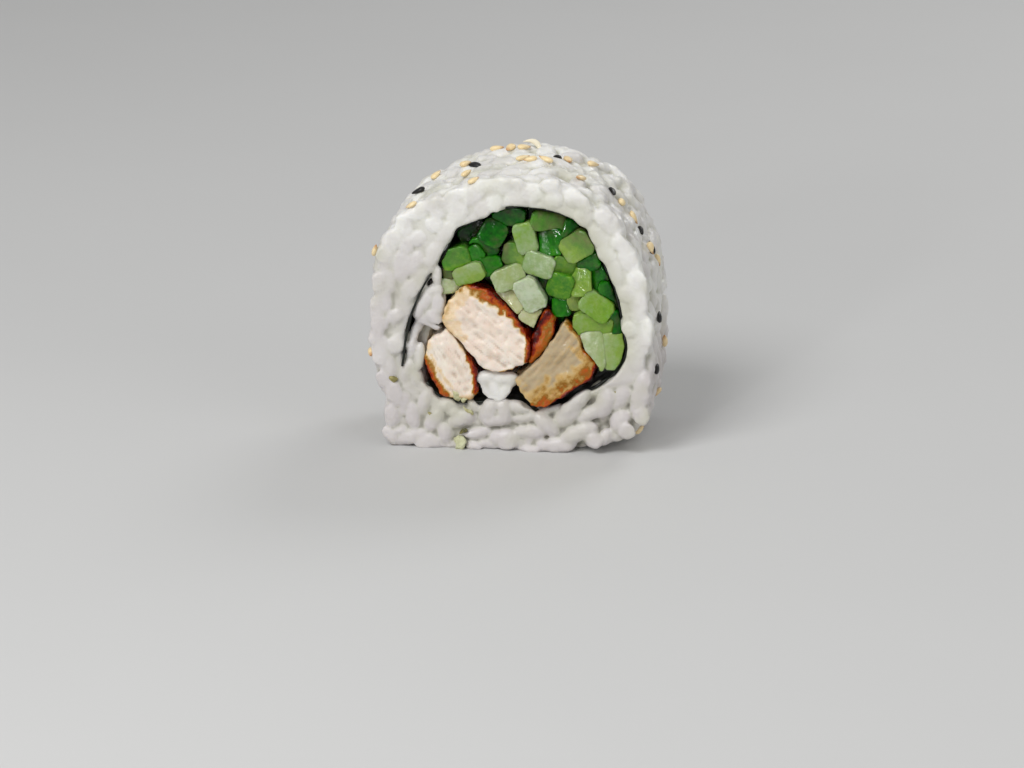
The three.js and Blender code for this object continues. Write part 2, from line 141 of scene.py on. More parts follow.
# The same for scraps of cucumber caught in the rice, with how dark each is from 0 to 1.
SCRAPS = [
    (-0.849, 0.247, 20, 1.8, 1.4, 0.2, 0.6), (-0.357, 0.024, 80, 2.2, 2, 0, 0),
    (-0.3, 0.14, -32, 2.4, 0.7, 0.4, 0.3), (-0.38, 0.2, -50, 2.2, 1.4, 0.5, 0.2),
    (-0.43, 0.225, -20, 1.5, 0.9, 0.5, 0.4), (-0.575, 0.128, 60, 1, 0.8, 0.2, 0.45),
    (-0.331, 0.067, 20, 1.5, 0.8, 0.1, 0.9), (0.77, 0.232, 30, 1.8, 1, 0.6, 0.7),
    (-0.33, 0.185, 70, 1.4, 0.8, 0.45, 0.25),
]

SINGLE_THICKNESS = 0.9  # of such a grain, as a share of its width
SCRAP_THICKNESS = 0.8  # the same for a scrap
SINGLE_CLEARANCE = 2.3 * MM  # from a scattered grain to one of those
GRAIN_VARIETY = (0.8, 1.1)  # the least and the most that a grain's size is multiplied by
GRAIN_BEND = 0.25  # in millimetres
RICE_MARGIN = 1.2 * MM  # from the middle of a grain to the edges of the ring of rice
END_MARGIN = 0.9 * MM  # the same from a grain's ends
SECOND_DEPTH = 1.5 * MM  # of the layer under the loose grains, which lies closer together
SECOND_SPACING = 0.9
OUTER_DEPTH = 1.15 * MM  # of the middles of the grains in the outside
RICE_KEPT = 0.62  # share of the facets that stay after the grains are joined
STICK_KEPT = 0.6  # the same for a stick of cucumber

# The upper edge of the large piece of chicken, and the lower edge of the piece at the right.
LARGE_EDGE = [(-0.26, 0.618), (-0.15, 0.6), (-0.06, 0.56), (0.045, 0.508), (0.112, 0.46)]
RIGHT_EDGE = [(0.63, 0.325), (0.58, 0.266), (0.42, 0.215), (0.26, 0.16)]
# Browned edges of the chicken, as lines on the cut face: how far the browning reaches in from
# the line in millimetres, and how dark it is on it (0 raw meat, 1 burnt glaze).
BROWNING = {
    "chicken_large": [
        (LARGE_EDGE, 0.9, 1),
        (LARGE_EDGE[:3], 2.6, 0.68),
        (LARGE_EDGE[2:], 1.6, 0.76),
        ([(0.112, 0.46), (0.148, 0.4), (0.13, 0.335)], 0.8, 0.7),
        ([(0.12, 0.315), (0.02, 0.297), (-0.1, 0.284), (-0.19, 0.296)], 0.35, 0.5),
        ([(-0.26, 0.615), (-0.34, 0.605), (-0.43, 0.55), (-0.49, 0.47), (-0.4, 0.42)], 2.6, 0.2),
    ],
    "chicken_left": [
        ([(-0.621, 0.32), (-0.585, 0.288), (-0.5, 0.2), (-0.47, 0.19)], 1.3, 0.5),
        ([(-0.56, 0.345), (-0.52, 0.3), (-0.475, 0.262), (-0.41, 0.226)], 0.5, 0.2),
        ([(-0.27, 0.335), (-0.228, 0.29), (-0.226, 0.22)], 1.2, 0.84),
        ([(-0.455, 0.44), (-0.39, 0.42), (-0.29, 0.338)], 0.5, 0.24),
        ([(-0.58, 0.4), (-0.625, 0.335)], 1.2, 0.16),
        ([(-0.44, 0.184), (-0.28, 0.186)], 1, 0.24),
    ],
    "chicken_right": [
        (RIGHT_EDGE, 0.9, 1),
        (RIGHT_EDGE, 5, 0.4),
        ([(0.26, 0.16), (0.15, 0.16), (0.07, 0.213), (0.02, 0.262)], 2.6, 0.14),
        ([(0.28, 0.17), (0.2, 0.16), (0.13, 0.165)], 1.3, 0.52),
        ([(0.395, 0.49), (0.49, 0.435), (0.535, 0.375), (0.63, 0.325)], 0.9, 0.42),
    ],
    "chicken_skin": [
        ([(0.29, 0.52), (0.2, 0.47), (0.14, 0.37)], 1.5, 0.82),
        ([(0.33, 0.5), (0.32, 0.42)], 0.9, 0.75),
    ],
}
# How brown each piece is away from those edges, how wet and dull its meat is, and the direction of
# its fibres on the cut face in degrees.
MEAT_LOOKS = {
    "chicken_large": (0, 0, -38),
    "chicken_left": (0.03, 0.05, -60),
    "chicken_right": (0.08, 1, 52),
    "chicken_skin": (0.36, 0.6, 62),
}

# How green each cucumber stick is at one side of its end and at the other, from 0 for pale heart through
# peel to 1 for peel darkened by painted shade, the direction of that change on the cut face in degrees,
# and how yellow it is.
STICK_GREENS = [
    (0, 0.06, 300, 0.15), (0.34, 0.46, 300, 0.15), (0.16, 0.22, 200, 0.1), (0.08, 0.24, 0, 0.35),
    (0.16, 0.22, 0, 0.4), (0.44, 0.26, 120, 0.3), (0.24, 0.44, 0, 0.3), (0.22, 0.34, 120, 0.1),
    (0.56, 0.6, 90, 0.1), (0.08, 0.14, 300, 1), (0.4, 0.8, 60, 0.4), (0.56, 0.66, 120, 0.15),
    (0.42, 0.5, 0, 0.3), (0.7, 0.66, 270, 0), (0.06, 0.14, 300, 0.9), (0.5, 0.58, 140, 0.2),
    (0.68, 0.96, 0, 0), (0.06, 0.12, 180, 0.35), (0.46, 0.52, 90, 0.3), (0.8, 0.86, 0, 0),
    (0.76, 0.88, 120, 0), (0.66, 0.74, 100, 0), (0.66, 0.84, 90, 0), (0.7, 0.8, 270, 0),
    (0.46, 0.86, 180, 0.3), (0.7, 0.88, 0, 0), (0.7, 0.84, 0, 0), (0.5, 0.56, 270, 0.6),
    (0.92, 0.96, 0, 0.35), (0.7, 0.8, 0, 0.3), (0.8, 0.9, 90, 0), (0.7, 0.8, 0, 0), (0.76, 0.92, 0, 0),
]
# Painted shade: the sticks after those are coloured as peel darkened in the gaps among the sticks.
SHADED_STICK = (0.88, 1, 0, 0)  # the same for the sticks after those
STICK_COUNT = 40
END_DEPTH = 2.5 * MM  # how far from a cut end its slope is felt

# Sesame seeds that the viewer sees: the share of the way round the outside from the right end
# of the flat underside, and the place along the roll in millimetres.
GOLDEN_SEEDS = [
    (0.662, -12.2), (0.651, 5.6), (0.601, -3.7), (0.583, -11.8), (0.574, 10.1), (0.552, 7.9),
    (0.53, 7.4), (0.527, 0.4), (0.52, -1.8), (0.5, -1.5), (0.466, 2.2), (0.448, 7.6), (0.446, -6.4),
    (0.385, -1.1), (0.366, -0.5), (0.323, -2.3), (0.296, 6.6), (0.189, 8.3), (0.121, 6.7),
    (0.874, -11.8), (0.738, -11.5), (0.101, -6.7), (0.603, 1.8),
]
BLACK_SEEDS = [
    (0.664, -6.6), (0.583, 1.3), (0.492, 1.8), (0.401, -2.1), (0.344, -1.2), (0.318, -0.8),
    (0.229, -3.6), (0.168, -5.2),
]
SEED_CLEARANCE = 2.2 * MM  # between seeds, where the rice leaves a choice
SEED_RAISED = 0.26  # how far a seed's middle stands over the rice, as a share of its thickness
# Where the other seeds lie, as such shares and places, and the least distance between them.
HIDDEN_SHARES = (0.7, 0.97)
HIDDEN_RUN = (-5, 11.5)
HIDDEN_GAP = 3.2
WAY_ROUND = 135  # of the whole outside in millimetres, for that distance
# The husk on the top, in millimetres: its size, its place, how it curls, and how it is turned.
HUSK_SIZE = (3.6, 1.0, 0.4)
HUSK_PLACE = (1.1, 9.6, 46.9)
HUSK_CURL = 1.0
HUSK_AXES = ((-0.9, 0.1, 0.42), (0.1, -1.0, 0.1))

NORI_STEP = 0.5 * MM  # between its points on the cut face
NORI_ROWS = 30  # of points along the roll
SLIT_LENGTH = 17.5 * MM  # of the nori's line, from its outer end

# Each light's place and size in metres; its power is a setting.
LIGHTS = {
    "key": ((-0.25, -0.45, 0.55), 0.35),
    "fill": ((0.5, -0.35, 0.25), 0.4),
    "glint": ((-0.17, -0.6, 0.19), 0.06),
    "rim": ((0.25, 0.45, 0.45), 0.3),
}
LIT_PLACE = (0, 0, 0.022)  # that the lights point at
FLOOR_HALF = 3.0  # from the middle of the floor to its sides

# The random draws of each thing start from their own number.
RICE_DRAWS, TONE_DRAWS, LUMP_DRAWS, LUMP_TONE_DRAWS = 7, 11, 23, 5
HIDDEN_DRAWS, SEED_DRAWS, STICK_DRAWS = 31, 60, 300
FACE_TRIALS, OUTER_TRIALS, HEADING_TRIALS = 7000, 16000, 8


# ---- settings


def srgb(red, green, blue):
    """The colour that a screen shows as these 0 to 255 values, as Blender's linear values."""
    shares = np.array((red, green, blue)) / 255
    linear = np.where(shares <= 0.04045, shares / 12.92, ((shares + 0.055) / 1.055) ** 2.4)
    return (*linear.tolist(), 1.0)


def colour(name, description, *values):
    options = {"size": 4, "min": 0, "max": 1, "subtype": "COLOR"}
    return FloatVectorProperty(
        name=name, description=description, default=srgb(*values), **options
    )


def quantity(name, description, default, **options):
    return FloatProperty(name=name, description=description, default=default, **options)


def length(name, description, millimetres):
    """A setting that is kept in metres."""
    return quantity(name, description, millimetres * MM, unit="LENGTH")


class RiceSettings(bpy.types.PropertyGroup):
    grain_length: length("Grain length", "Length of a cooked grain", 6.2)
    grain_width: length("Grain width", "Width of a cooked grain", 3.3)
    grain_thickness: length("Grain thickness", "Thickness of a cooked grain", 2.8)
    packed_spacing: length("Packed spacing", "Least distance between pressed grains", 2.3)
    loose_spacing: length("Loose spacing", "Least distance between loose grains", 3.0)
    outer_spacing: length("Outer spacing", "Least distance between grains outside", 2.7)
    pressed_recess: length("Pressed recess", "Depth of the gaps where the face is smooth", 0.22)
    loose_recess: length("Loose recess", "Depth of the gaps between loose grains", 2.4)
    fineness: length("Fineness", "Size of the facets of the sticky mass", 0.3)
    bright: colour("Bright rice", "Colour of a grain's crown", 238, 238, 233)
    # Painted shade between the grains; the same colour also tints the rice near the sheet and in
    # patches.
    shade: colour("Shaded rice", "Colour between the grains", 195, 194, 175)
    # Painted shade that fills the gaps between loose grains.
    gap: colour("Gaps", "Depth between loose grains", 132, 128, 120)
    # Both a random tone of the grains and painted shade on the less lit rice towards the bottom.
    grey: colour("Grey rice", "Colour of the wet, less lit grains", 202, 196, 195)


class SesameSettings(bpy.types.PropertyGroup):
    seed_length: length("Seed length", "Length of a toasted seed", 2.5)
    seed_width: length("Seed width", "Width of a toasted seed", 1.5)
    seed_thickness: length("Seed thickness", "Thickness of a toasted seed", 0.95)
    hidden_golden: IntProperty(
        name="Other golden seeds", description="Golden seeds out of the viewer's sight", default=10
    )
    hidden_black: IntProperty(
        name="Other black seeds", description="Black seeds out of the viewer's sight", default=4
    )
    golden: colour("Golden seed", "Toasted seed coat", 250, 229, 180)
    golden_tip: colour("Golden tip", "Tip of a toasted seed", 178, 108, 44)
    black: colour("Black seed", "Black seed coat", 16, 14, 14)
    husk: colour("Husk", "Curled seed husk", 236, 228, 204)


class NoriSettings(bpy.types.PropertyGroup):
    thickness: length("Thickness", "Thickness of the moist sheet", 0.3)
    edge_recess: length("Edge recess", "How far its edge stands behind the cut face", 1.6)
    sheet: colour("Sheet", "Moist nori", 9, 13, 9)
    sheen: colour("Lighter patches", "Thinner places in the sheet", 24, 34, 20)


class CucumberSettings(bpy.types.PropertyGroup):
    fineness: length("Fineness", "Size of the facets", 0.25)
    end_slope: quantity("End slope", "Most slope of a cut end", 0.3, min=0, max=1)
    fullness: length("Fullness", "How far the sticks press into each other", 0.3)
    unevenness: length("Unevenness", "Height of the lumps left by the knife", 0.13)
    heart: colour("Heart", "Palest flesh", 188, 200, 172)
    pale: colour("Pale flesh", "Flesh round the heart", 142, 166, 116)
    flesh: colour("Yellow-green flesh", "Flesh half way out", 106, 152, 30)
    under_peel: colour("Under the peel", "Green flesh under the peel", 34, 118, 8)
    peel: colour("Peel", "Peel where light comes through", 2, 84, 2)
    # Painted shade: the peel as it looks darkened among the sticks.
    shaded_peel: colour("Deep peel", "Peel in the depth", 1, 30, 2)
    yellow: colour("Yellowed flesh", "Flesh round the seeds", 184, 174, 118)
    pale_scrap: colour("Pale scraps", "Scraps of flesh in the rice", 210, 212, 174)
    olive_scrap: colour("Olive scraps", "Scraps stained by the sauce", 152, 142, 86)
    dark_scrap: colour("Dark scraps", "Scraps of peel in the rice", 60, 62, 32)


class ChickenSettings(bpy.types.PropertyGroup):
    fineness: length("Fineness", "Size of the facets", 0.3)
    crag_height: length("Crag height", "Height of the uneven cut", 0.36)
    fibre_height: length("Fibre height", "Height of the meat's fibres", 0.24)
    meat: colour("Meat", "Cooked white meat", 240, 230, 217)
    wet_meat: colour("Wet meat", "Meat that is moist and less white", 168, 152, 124)
    pink: colour("Pink meat", "Rosier strands of the meat", 232, 196, 172)
    toasted: colour("Toasted", "Edge of the browned meat", 232, 195, 122)
    golden: colour("Golden", "Lightly browned meat", 144, 98, 24)
    orange: colour("Orange", "Glazed golden crust", 180, 84, 8)
    brown: colour("Brown", "Glazed brown crust", 132, 32, 0)
    dark: colour("Dark glaze", "Thick soy glaze", 84, 6, 0)
    burnt: colour("Burnt glaze", "Darkest edge", 20, 2, 0)


class StageSettings(bpy.types.PropertyGroup):
    azimuth: quantity(
        "Azimuth", "How far right of the front the camera stands", math.radians(8), subtype="ANGLE"
    )
    elevation: quantity(
        "Elevation", "How far the camera looks down", math.radians(16.5), subtype="ANGLE"
    )
    distance: length("Camera distance", "From the camera to the roll", 650)
    lens: quantity("Lens", "Focal length in millimetres", 137.1)
    aim_right: length("Aim right", "Right of the origin where the camera aims", -1.33)
    aim_up: length("Aim up", "Above the origin where the camera aims", 7.5)
    floor: colour("Floor", "Plain pale floor", 205, 205, 204)
    key_watts: quantity("Key light", "Power in watts", 3.0)
    fill_watts: quantity("Fill light", "Power in watts", 0.4)
    glint_watts: quantity("Glint light", "Power in watts", 0.55)
    rim_watts: quantity("Rim light", "Power in watts", 0.9)
    surround: quantity("Surround", "Strength of the pale room", 0.36)


SETTINGS = {
    "roll_rice": RiceSettings,
    "roll_sesame": SesameSettings,
    "roll_nori": NoriSettings,
    "roll_cucumber": CucumberSettings,
    "roll_chicken": ChickenSettings,
    "roll_stage": StageSettings,
}


# ---- outlines


def on_face(shares):
    """Shares of the width and height as X and Z."""
    return np.array(shares, float) * (ROLL_WIDTH / 2, ROLL_HEIGHT)


def in_space(flat, y):
    """Places on the cut face, moved along the roll to Y."""
    return np.column_stack([flat[:, 0], np.broadcast_to(y, len(flat)), flat[:, 1]])


def unit(vectors):
    """The vectors, each made one long."""
    return vectors / np.linalg.norm(vectors, axis=1)[:, None]


def eased(values, low, high):
    """A smooth step from 0 at low to 1 at high."""
    share = np.clip((np.asarray(values, float) - low) / (high - low), 0, 1)
    return share * share * (3 - 2 * share)


def mixed(first, second, start, end, t):
    """The straight mix at t of two points, of which the first is at start and the second at end."""
    return (end - t) / (end - start) * first + (t - start) / (end - start) * second


def curve_span(near):
    """Points from the second to the third of four points, on the smooth curve through them."""
    knots = [0.0]
    for first, second in zip(near, near[1:]):
        knots.append(knots[-1] + np.linalg.norm(second - first) ** 0.5)
    t = np.linspace(knots[1], knots[2], 12, endpoint=False)[:, None]
    for reach in (1, 2):
        pairs = enumerate(zip(near, near[1:]))
        near = [mixed(a, b, knots[k], knots[k + reach], t) for k, (a, b) in pairs]
    return mixed(*near, knots[1], knots[2], t)


def smooth_curve(points, step, closed=False):
    """Points an even step apart on a smooth curve through the given ones."""
    before = points[-1:] if closed else 2 * points[:1] - points[1:2]
    after = points[:2] if closed else 2 * points[-1:] - points[-2:-1]
    padded = np.vstack([before, points, after])
    spans = [curve_span(padded[i : i + 4]) for i in range(len(padded) - 3)]
    fine = np.vstack([*spans, points[:1] if closed else points[-1:]])
    along = np.concatenate([[0], np.linalg.norm(np.diff(fine, axis=0), axis=1).cumsum()])
    steps = max(int(round(along[-1] / step)), 2)
    wanted = np.linspace(0, along[-1], steps + 1)
    even = np.column_stack([np.interp(wanted, along, fine[:, k]) for k in range(2)])
    return even[:-1] if closed else even


def outward(outline, closed=True):
    """Unit vectors to the right of the run of points, out of an anticlockwise outline."""
    if closed:
        run = np.roll(outline, -1, axis=0) - np.roll(outline, 1, axis=0)
    else:
        run = np.gradient(outline, axis=0)
    return unit(run)[:, ::-1] * (1, -1)


def distance_to(points, outline, closed=True):
    """How far points are from a line or outline, negative inside one, and the nearest places."""
    starts = outline if closed else outline[:-1]
    runs = (np.roll(outline, -1, axis=0) if closed else outline[1:]) - starts
    gaps = np.full(len(points), np.inf)
    nearest = np.zeros_like(points)
    inside = np.zeros(len(points), bool)
    for start, run in zip(starts, runs):
        offset = points - start
        share = np.clip(offset @ run / max(run @ run, 1e-18), 0, 1)
        place = start + share[:, None] * run
        gap = np.linalg.norm(points - place, axis=1)
        closer = gap < gaps
        gaps[closer] = gap[closer]
        nearest[closer] = place[closer]
        if closed and run[1]:
            spans = (start[1] > points[:, 1]) != (start[1] + run[1] > points[:, 1])
            crossing = run[0] * (points[:, 1] - start[1]) / run[1] + start[0]
            inside ^= spans & (points[:, 0] < crossing)
    return np.where(inside, -gaps, gaps), nearest


OUTLINE = smooth_curve(on_face(OUTSIDE), OUTLINE_STEP, closed=True)
NORI_LINE = smooth_curve(on_face(NORI_PATH), OUTLINE_STEP)
TAIL_OUTLINE = on_face(TAIL)
OUTLINE_GAP = np.linalg.norm(OUTLINE[1] - OUTLINE[0])


# ---- meshes


def linked(obj):
    """Puts an object into the scene."""
    bpy.context.scene.collection.objects.link(obj)
    return obj


def shade_smooth(mesh):
    mesh.polygons.foreach_set("use_smooth", [True] * len(mesh.polygons))


def new_piece(name, points, faces):
    """A shaded-smooth mesh object from arrays of points and faces."""
    mesh = bpy.data.meshes.new(name)
    mesh.from_pydata(np.asarray(points).tolist(), [], np.asarray(faces).tolist())
    mesh.update()
    shade_smooth(mesh)
    return linked(bpy.data.objects.new(name, mesh))


def copy_of_node(node, name):
    """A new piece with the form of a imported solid."""
    piece = bpy.data.objects.new(name, frame["nodes"][node].data.copy())
    piece.data.materials.clear()
    return linked(piece)


def vectors_of(items, key):
    values = np.empty(len(items) * 3)
    items.foreach_get(key, values)
    return values.reshape(-1, 3)


def points_of(piece):
    return vectors_of(piece.data.vertices, "co")


def normals_of(piece):
    return vectors_of(piece.data.vertex_normals, "vector")


def move_points(piece, points):
    piece.data.vertices.foreach_set("co", np.asarray(points, float).ravel())
    piece.data.update()


def set_value(piece, name, values):
    """Keeps a number for each point of the mesh, which its material reads by name."""
    layer = piece.data.attributes.new(name, "FLOAT", "POINT")
    layer.data.foreach_set("value", np.asarray(values, float))


def fused(piece, fineness, rounds, factor=0.5, kept=1.0):
    """Joins all that overlaps in a mesh into one skin, smooths it and keeps a share of its facets."""
    remesh = piece.modifiers.new("Fuse", "REMESH")
    remesh.mode = "VOXEL"
    remesh.voxel_size = fineness
    soften = piece.modifiers.new("Soften", "SMOOTH")
    soften.iterations = rounds
    soften.factor = factor
    if kept < 1:
        thin = piece.modifiers.new("Thin", "DECIMATE")
        thin.ratio = kept
    graph = bpy.context.evaluated_depsgraph_get()
    mesh = bpy.data.meshes.new_from_object(piece.evaluated_get(graph))
    piece.modifiers.clear()
    rough = piece.data
    piece.data = mesh
    bpy.data.meshes.remove(rough)
    mesh.name = piece.name
    shade_smooth(mesh)
    return piece


def noise_at(points, scale, offset=0.0):
    """Smooth noise from about -1 to 1 with bumps of a scale; each offset gives other bumps."""
    shift = Vector((offset, offset * 0.7, -offset * 1.3))
    return np.array([noise.noise(Vector(p) + shift) for p in points / scale])


def fibre_noise(points, angle, scale, offset):
    """Noise drawn out along fibres that run at an angle on the cut face."""
    c, s = math.cos(angle), math.sin(angle)
    along = (points[:, 0] * c + points[:, 2] * s) * 0.16
    across = points[:, 2] * c - points[:, 0] * s
    return noise_at(np.column_stack([along, points[:, 1] * 0.6, across]), scale, offset)


def hollowness(piece, rounds):
    """How far each point lies below its smoothed surroundings, in metres."""
    edges = np.empty(len(piece.data.edges) * 2, int)
    piece.data.edges.foreach_get("vertices", edges)
    first, second = edges.reshape(-1, 2).T
    points = points_of(piece)
    counts = np.bincount(edges, minlength=len(points))[:, None]
    soft = points.copy()
    for _ in range(rounds):
        total = np.zeros_like(soft)
        for k in range(3):
            total[:, k] = np.bincount(first, soft[second, k], len(points))
            total[:, k] += np.bincount(second, soft[first, k], len(points))
        soft = total / np.maximum(counts, 1)
    return ((soft - points) * normals_of(piece)).sum(axis=1)


def finish_piece(piece, material, nodes=()):
    """Gives a piece its material, its body and the solids that it stands for."""
    piece.data.materials.clear()
    piece.data.materials.append(material)
    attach(piece, "root")
    if nodes:
        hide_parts(*nodes)


# ---- grains and seeds

FORM_SIDES = 12
FORM_RINGS = 9


def lathed(radii, stations):
    """A closed form round X: rings of unit width and thickness at the stations, and two tips."""
    angles = np.arange(FORM_SIDES) / FORM_SIDES * 2 * math.pi
    ring = np.column_stack([np.zeros(FORM_SIDES), np.cos(angles), np.sin(angles)])
    rows = [ring * radius + (x, 0, 0) for radius, x in zip(radii[1:-1], stations[1:-1])]
    points = np.vstack([[(stations[0], 0, 0)], *rows, [(stations[-1], 0, 0)]])
    faces = []
    last = len(points) - 1
    for s in range(FORM_SIDES):
        t = (s + 1) % FORM_SIDES
        faces.append((0, 1 + t, 1 + s))
        for a in range(1, last - FORM_SIDES, FORM_SIDES):
            b = a + FORM_SIDES
            faces.append((a + s, a + t, b + t))
            faces.append((a + s, b + t, b + s))
        faces.append((last, last - FORM_SIDES + s, last - FORM_SIDES + t))
    return points, np.array(faces)


def grain_form():
    """A plump cooked grain, one unit long, wide and thick."""
    t = np.cos(np.linspace(math.pi, 0, FORM_RINGS))
    radii = 0.5 * (1 - np.abs(t) ** 2.5) ** 0.5 * (1 + 0.07 * t)
    return lathed(radii, 0.5 * t)


def seed_form():
    """A flat teardrop, one unit long, wide and thick, its tip towards +X."""
    t = np.cos(np.linspace(math.pi, 0, FORM_RINGS))
    radii = 0.5 * (1 - t * t) ** 0.5 * (1 - 0.42 * t)
    return lathed(radii / radii.max() * 0.5, 0.5 * t)


def placed(form, sizes, places, frames, bends=0.0):
    """Copies of a form, each with its size, place, frame of axes and bend, as one mesh's arrays."""
    points, faces = form
    number = len(places)
    scaled = points[None] * sizes[:, None]
    bends = np.broadcast_to(bends, number)
    scaled[:, :, 1] += bends[:, None] * (points[None, :, 0] * 2) ** 2
    world = np.einsum("npk,nkc->npc", scaled, frames) + places[:, None]
    shifts = (np.arange(number) * len(points))[:, None, None]
    return world.reshape(-1, 3), (faces[None] + shifts).reshape(-1, 3)


def frames_from(long_axes, out):
    """Frames of three axes: along the grain, across it, and out of the surface it lies in."""
    long_axes = unit(long_axes)
    across = unit(np.cross(out, long_axes))
    return np.stack([long_axes, across, np.cross(long_axes, across)], axis=1)


def read_rows(rows, thickness):
    """The places, headings, sizes and depths in a table, with thickness as a share of width."""
    rows = np.array(rows, float)
    long, wide, depth = (rows[:, 3:6] * MM).T
    return rows[:, :2], np.radians(rows[:, 2]), np.column_stack([long, wide, wide * thickness]), depth


def facing(side, number):
    """The way out of the front face, which is side -1, or the back face, once for each grain."""
    return np.tile((0.0, float(side), 0.0), (number, 1))


def thinned(places, spacings):
    """The indices of places that keep their spacing to those kept before them."""
    kept = []
    for i, place in enumerate(places):
        if kept:
            gaps = np.linalg.norm(places[kept] - place, axis=1)
            if gaps.min() < spacings[i]:
                continue
        kept.append(i)
    return kept


# ---- rice


def looseness(flat):
    """From 0 where the knife pressed the cut face smooth to 1 where its grains lie loose."""
    x, z = flat[:, 0], flat[:, 1]
    low = eased(-z, -13 * MM, -7 * MM)
    block = low * eased(-x, 7 * MM, 9.5 * MM)
    wall = 0.1 * eased(-x, 12.5 * MM, 16 * MM) * eased(-z, -36 * MM, -26 * MM)
    return np.maximum(low - 0.92 * block, wall)


def grain_heading(flat):
    """The usual direction of a grain on the cut face: level below, aslant at right, else round."""
    x, z = flat[:, 0], flat[:, 1]
    round_it = np.arctan2(z - 0.5 * ROLL_HEIGHT, x) + math.pi / 2
    slant = math.radians(38) * eased(x, 4 * MM, 14 * MM)
    heading = np.where(z < 9 * MM, slant, round_it)
    return np.where((x < -9 * MM) & (z < 14 * MM), math.radians(82), heading)


def on_rice(flat, margin):
    """Which places on the cut face lie on the ring of rice, at least a margin from its edges."""
    outer, _ = distance_to(flat, OUTLINE)
    hollow, _ = distance_to(flat, NORI_LINE)
    return (outer < -margin) & (hollow > margin)


def along_edge(flat):
    """The direction of the edge of the rice that is nearest to each place on the cut face."""
    outer, on_outer = distance_to(flat, OUTLINE)
    hollow, on_hollow = distance_to(flat, NORI_LINE)
    away = flat - np.where((-outer < hollow)[:, None], on_outer, on_hollow)
    return np.arctan2(away[:, 1], away[:, 0]) + math.pi / 2


def fitting_headings(flat, spread, reach, random):
    """Directions near the usual one whose grains stay on the rice, or else along its edge."""
    number = len(flat)
    usual = grain_heading(flat)
    heading = along_edge(flat) + random.normal(0, 0.1, number)
    undecided = np.ones(number, bool)
    for _ in range(HEADING_TRIALS):
        trial = usual + random.normal(0, 1, number) * spread
        axis = np.column_stack([np.cos(trial), np.sin(trial)]) * reach[:, None]
        fits = on_rice(flat + axis, END_MARGIN) & on_rice(flat - axis, END_MARGIN) & undecided
        heading[fits] = trial[fits]
        undecided &= ~fits
    return heading


class GrainHeap:
    """Collects grains for one sticky mass."""

    def __init__(self, settings, seed):
        self.settings = settings
        self.random = np.random.default_rng(seed)
        self.points, self.faces, self.centres = [], [], []
        self.count = 0

    def add_mesh(self, points, faces):
        self.points.append(points)
        self.faces.append(faces + self.count)
        self.count += len(points)

    def add_grains(self, places, long_axes, out, sizes=None):
        settings = self.settings
        number = len(places)
        if sizes is None:
            usual = (settings.grain_length, settings.grain_width, settings.grain_thickness)
            sizes = usual * self.random.uniform(*GRAIN_VARIETY, (number, 3))
        bends = self.random.uniform(-GRAIN_BEND, GRAIN_BEND, number) * MM
        self.add_mesh(*placed(grain_form(), sizes, places, frames_from(long_axes, out), bends))
        self.centres.append(places)

    def as_piece(self, name, tone_draws, grey_and_shade_strength=1.0, kept=1.0, shape=None):
        """The heap as one uneven skin, with the numbers that its material reads."""
        points = np.vstack(self.points)
        piece = new_piece(name, shape(points) if shape else points, np.vstack(self.faces))
        fused(piece, self.settings.fineness, rounds=1, kept=kept)
        roughened(piece)
        rice_values(piece, np.vstack(self.centres), tone_draws, grey_and_shade_strength)
        return piece


def face_places(heap, spacing_factor, loose_only):
    """Where one layer of grains lies in a cut face, and how loose each of them is."""
    half = ROLL_WIDTH / 2
    across = heap.random.uniform(-half, half, FACE_TRIALS)
    flat = np.column_stack([across, heap.random.uniform(0, ROLL_HEIGHT, FACE_TRIALS)])
    flat = flat[on_rice(flat, RICE_MARGIN)]
    if loose_only:
        flat = flat[looseness(flat) > 0.2]
    packed, loose = heap.settings.packed_spacing, heap.settings.loose_spacing
    spacing = packed + (loose - packed) * looseness(flat)
    flat = flat[thinned(flat, spacing * spacing_factor)]
    if not loose_only:
        singles = on_face([row[:2] for row in SINGLE_GRAINS])
        gaps = np.linalg.norm(flat[:, None] - singles[None], axis=2)
        flat = flat[gaps.min(axis=1) > SINGLE_CLEARANCE]
    return flat, looseness(flat)


def add_face_grains(heap, side, depth, spacing_factor, loose_only):
    """One layer of grains in a cut face, flat where the knife pressed them."""
    random = heap.random
    flat, loose = face_places(heap, spacing_factor, loose_only)
    number = len(flat)
    # Pressed grains lie any way and are cut through; loose ones lie in the face.
    tilt = np.where(loose < 0.5, random.uniform(-1.2, 1.2, number), random.normal(0, 0.16, number))
    half = heap.settings.grain_length / 2
    wall = eased(-flat[:, 0], 11 * MM, 15 * MM)
    spread = 0.9 - 0.4 * loose - 0.45 * wall
    heading = fitting_headings(flat, spread, half * np.cos(tilt), random)
    standing = np.hypot(half * np.sin(tilt), heap.settings.grain_thickness / 2 * np.cos(tilt))
    cut_off = (0.35 + 1.3 * np.abs(np.sin(tilt))) * (1 - loose)
    proud = (cut_off + random.uniform(-0.5, 0.1, number) * loose) * MM
    places = in_space(flat, side * (CUT - depth - standing + proud))
    level = np.cos(tilt)
    axes = np.column_stack([np.cos(heading) * level, np.sin(tilt), np.sin(heading) * level])
    heap.add_grains(places, axes, facing(side, number))


def add_single_grains(heap, side):
    """The grains that show singly in the cut face."""
    shares, heading, sizes, depth = read_rows(SINGLE_GRAINS, SINGLE_THICKNESS)
    y = side * (CUT + 0.1 * MM - depth - sizes[:, 2] / 2)
    tilt = heap.random.normal(0, 0.1, len(y))
    axes = np.column_stack([np.cos(heading), tilt, np.sin(heading)])
    heap.add_grains(in_space(on_face(shares), y), axes, facing(side, len(y)), sizes)


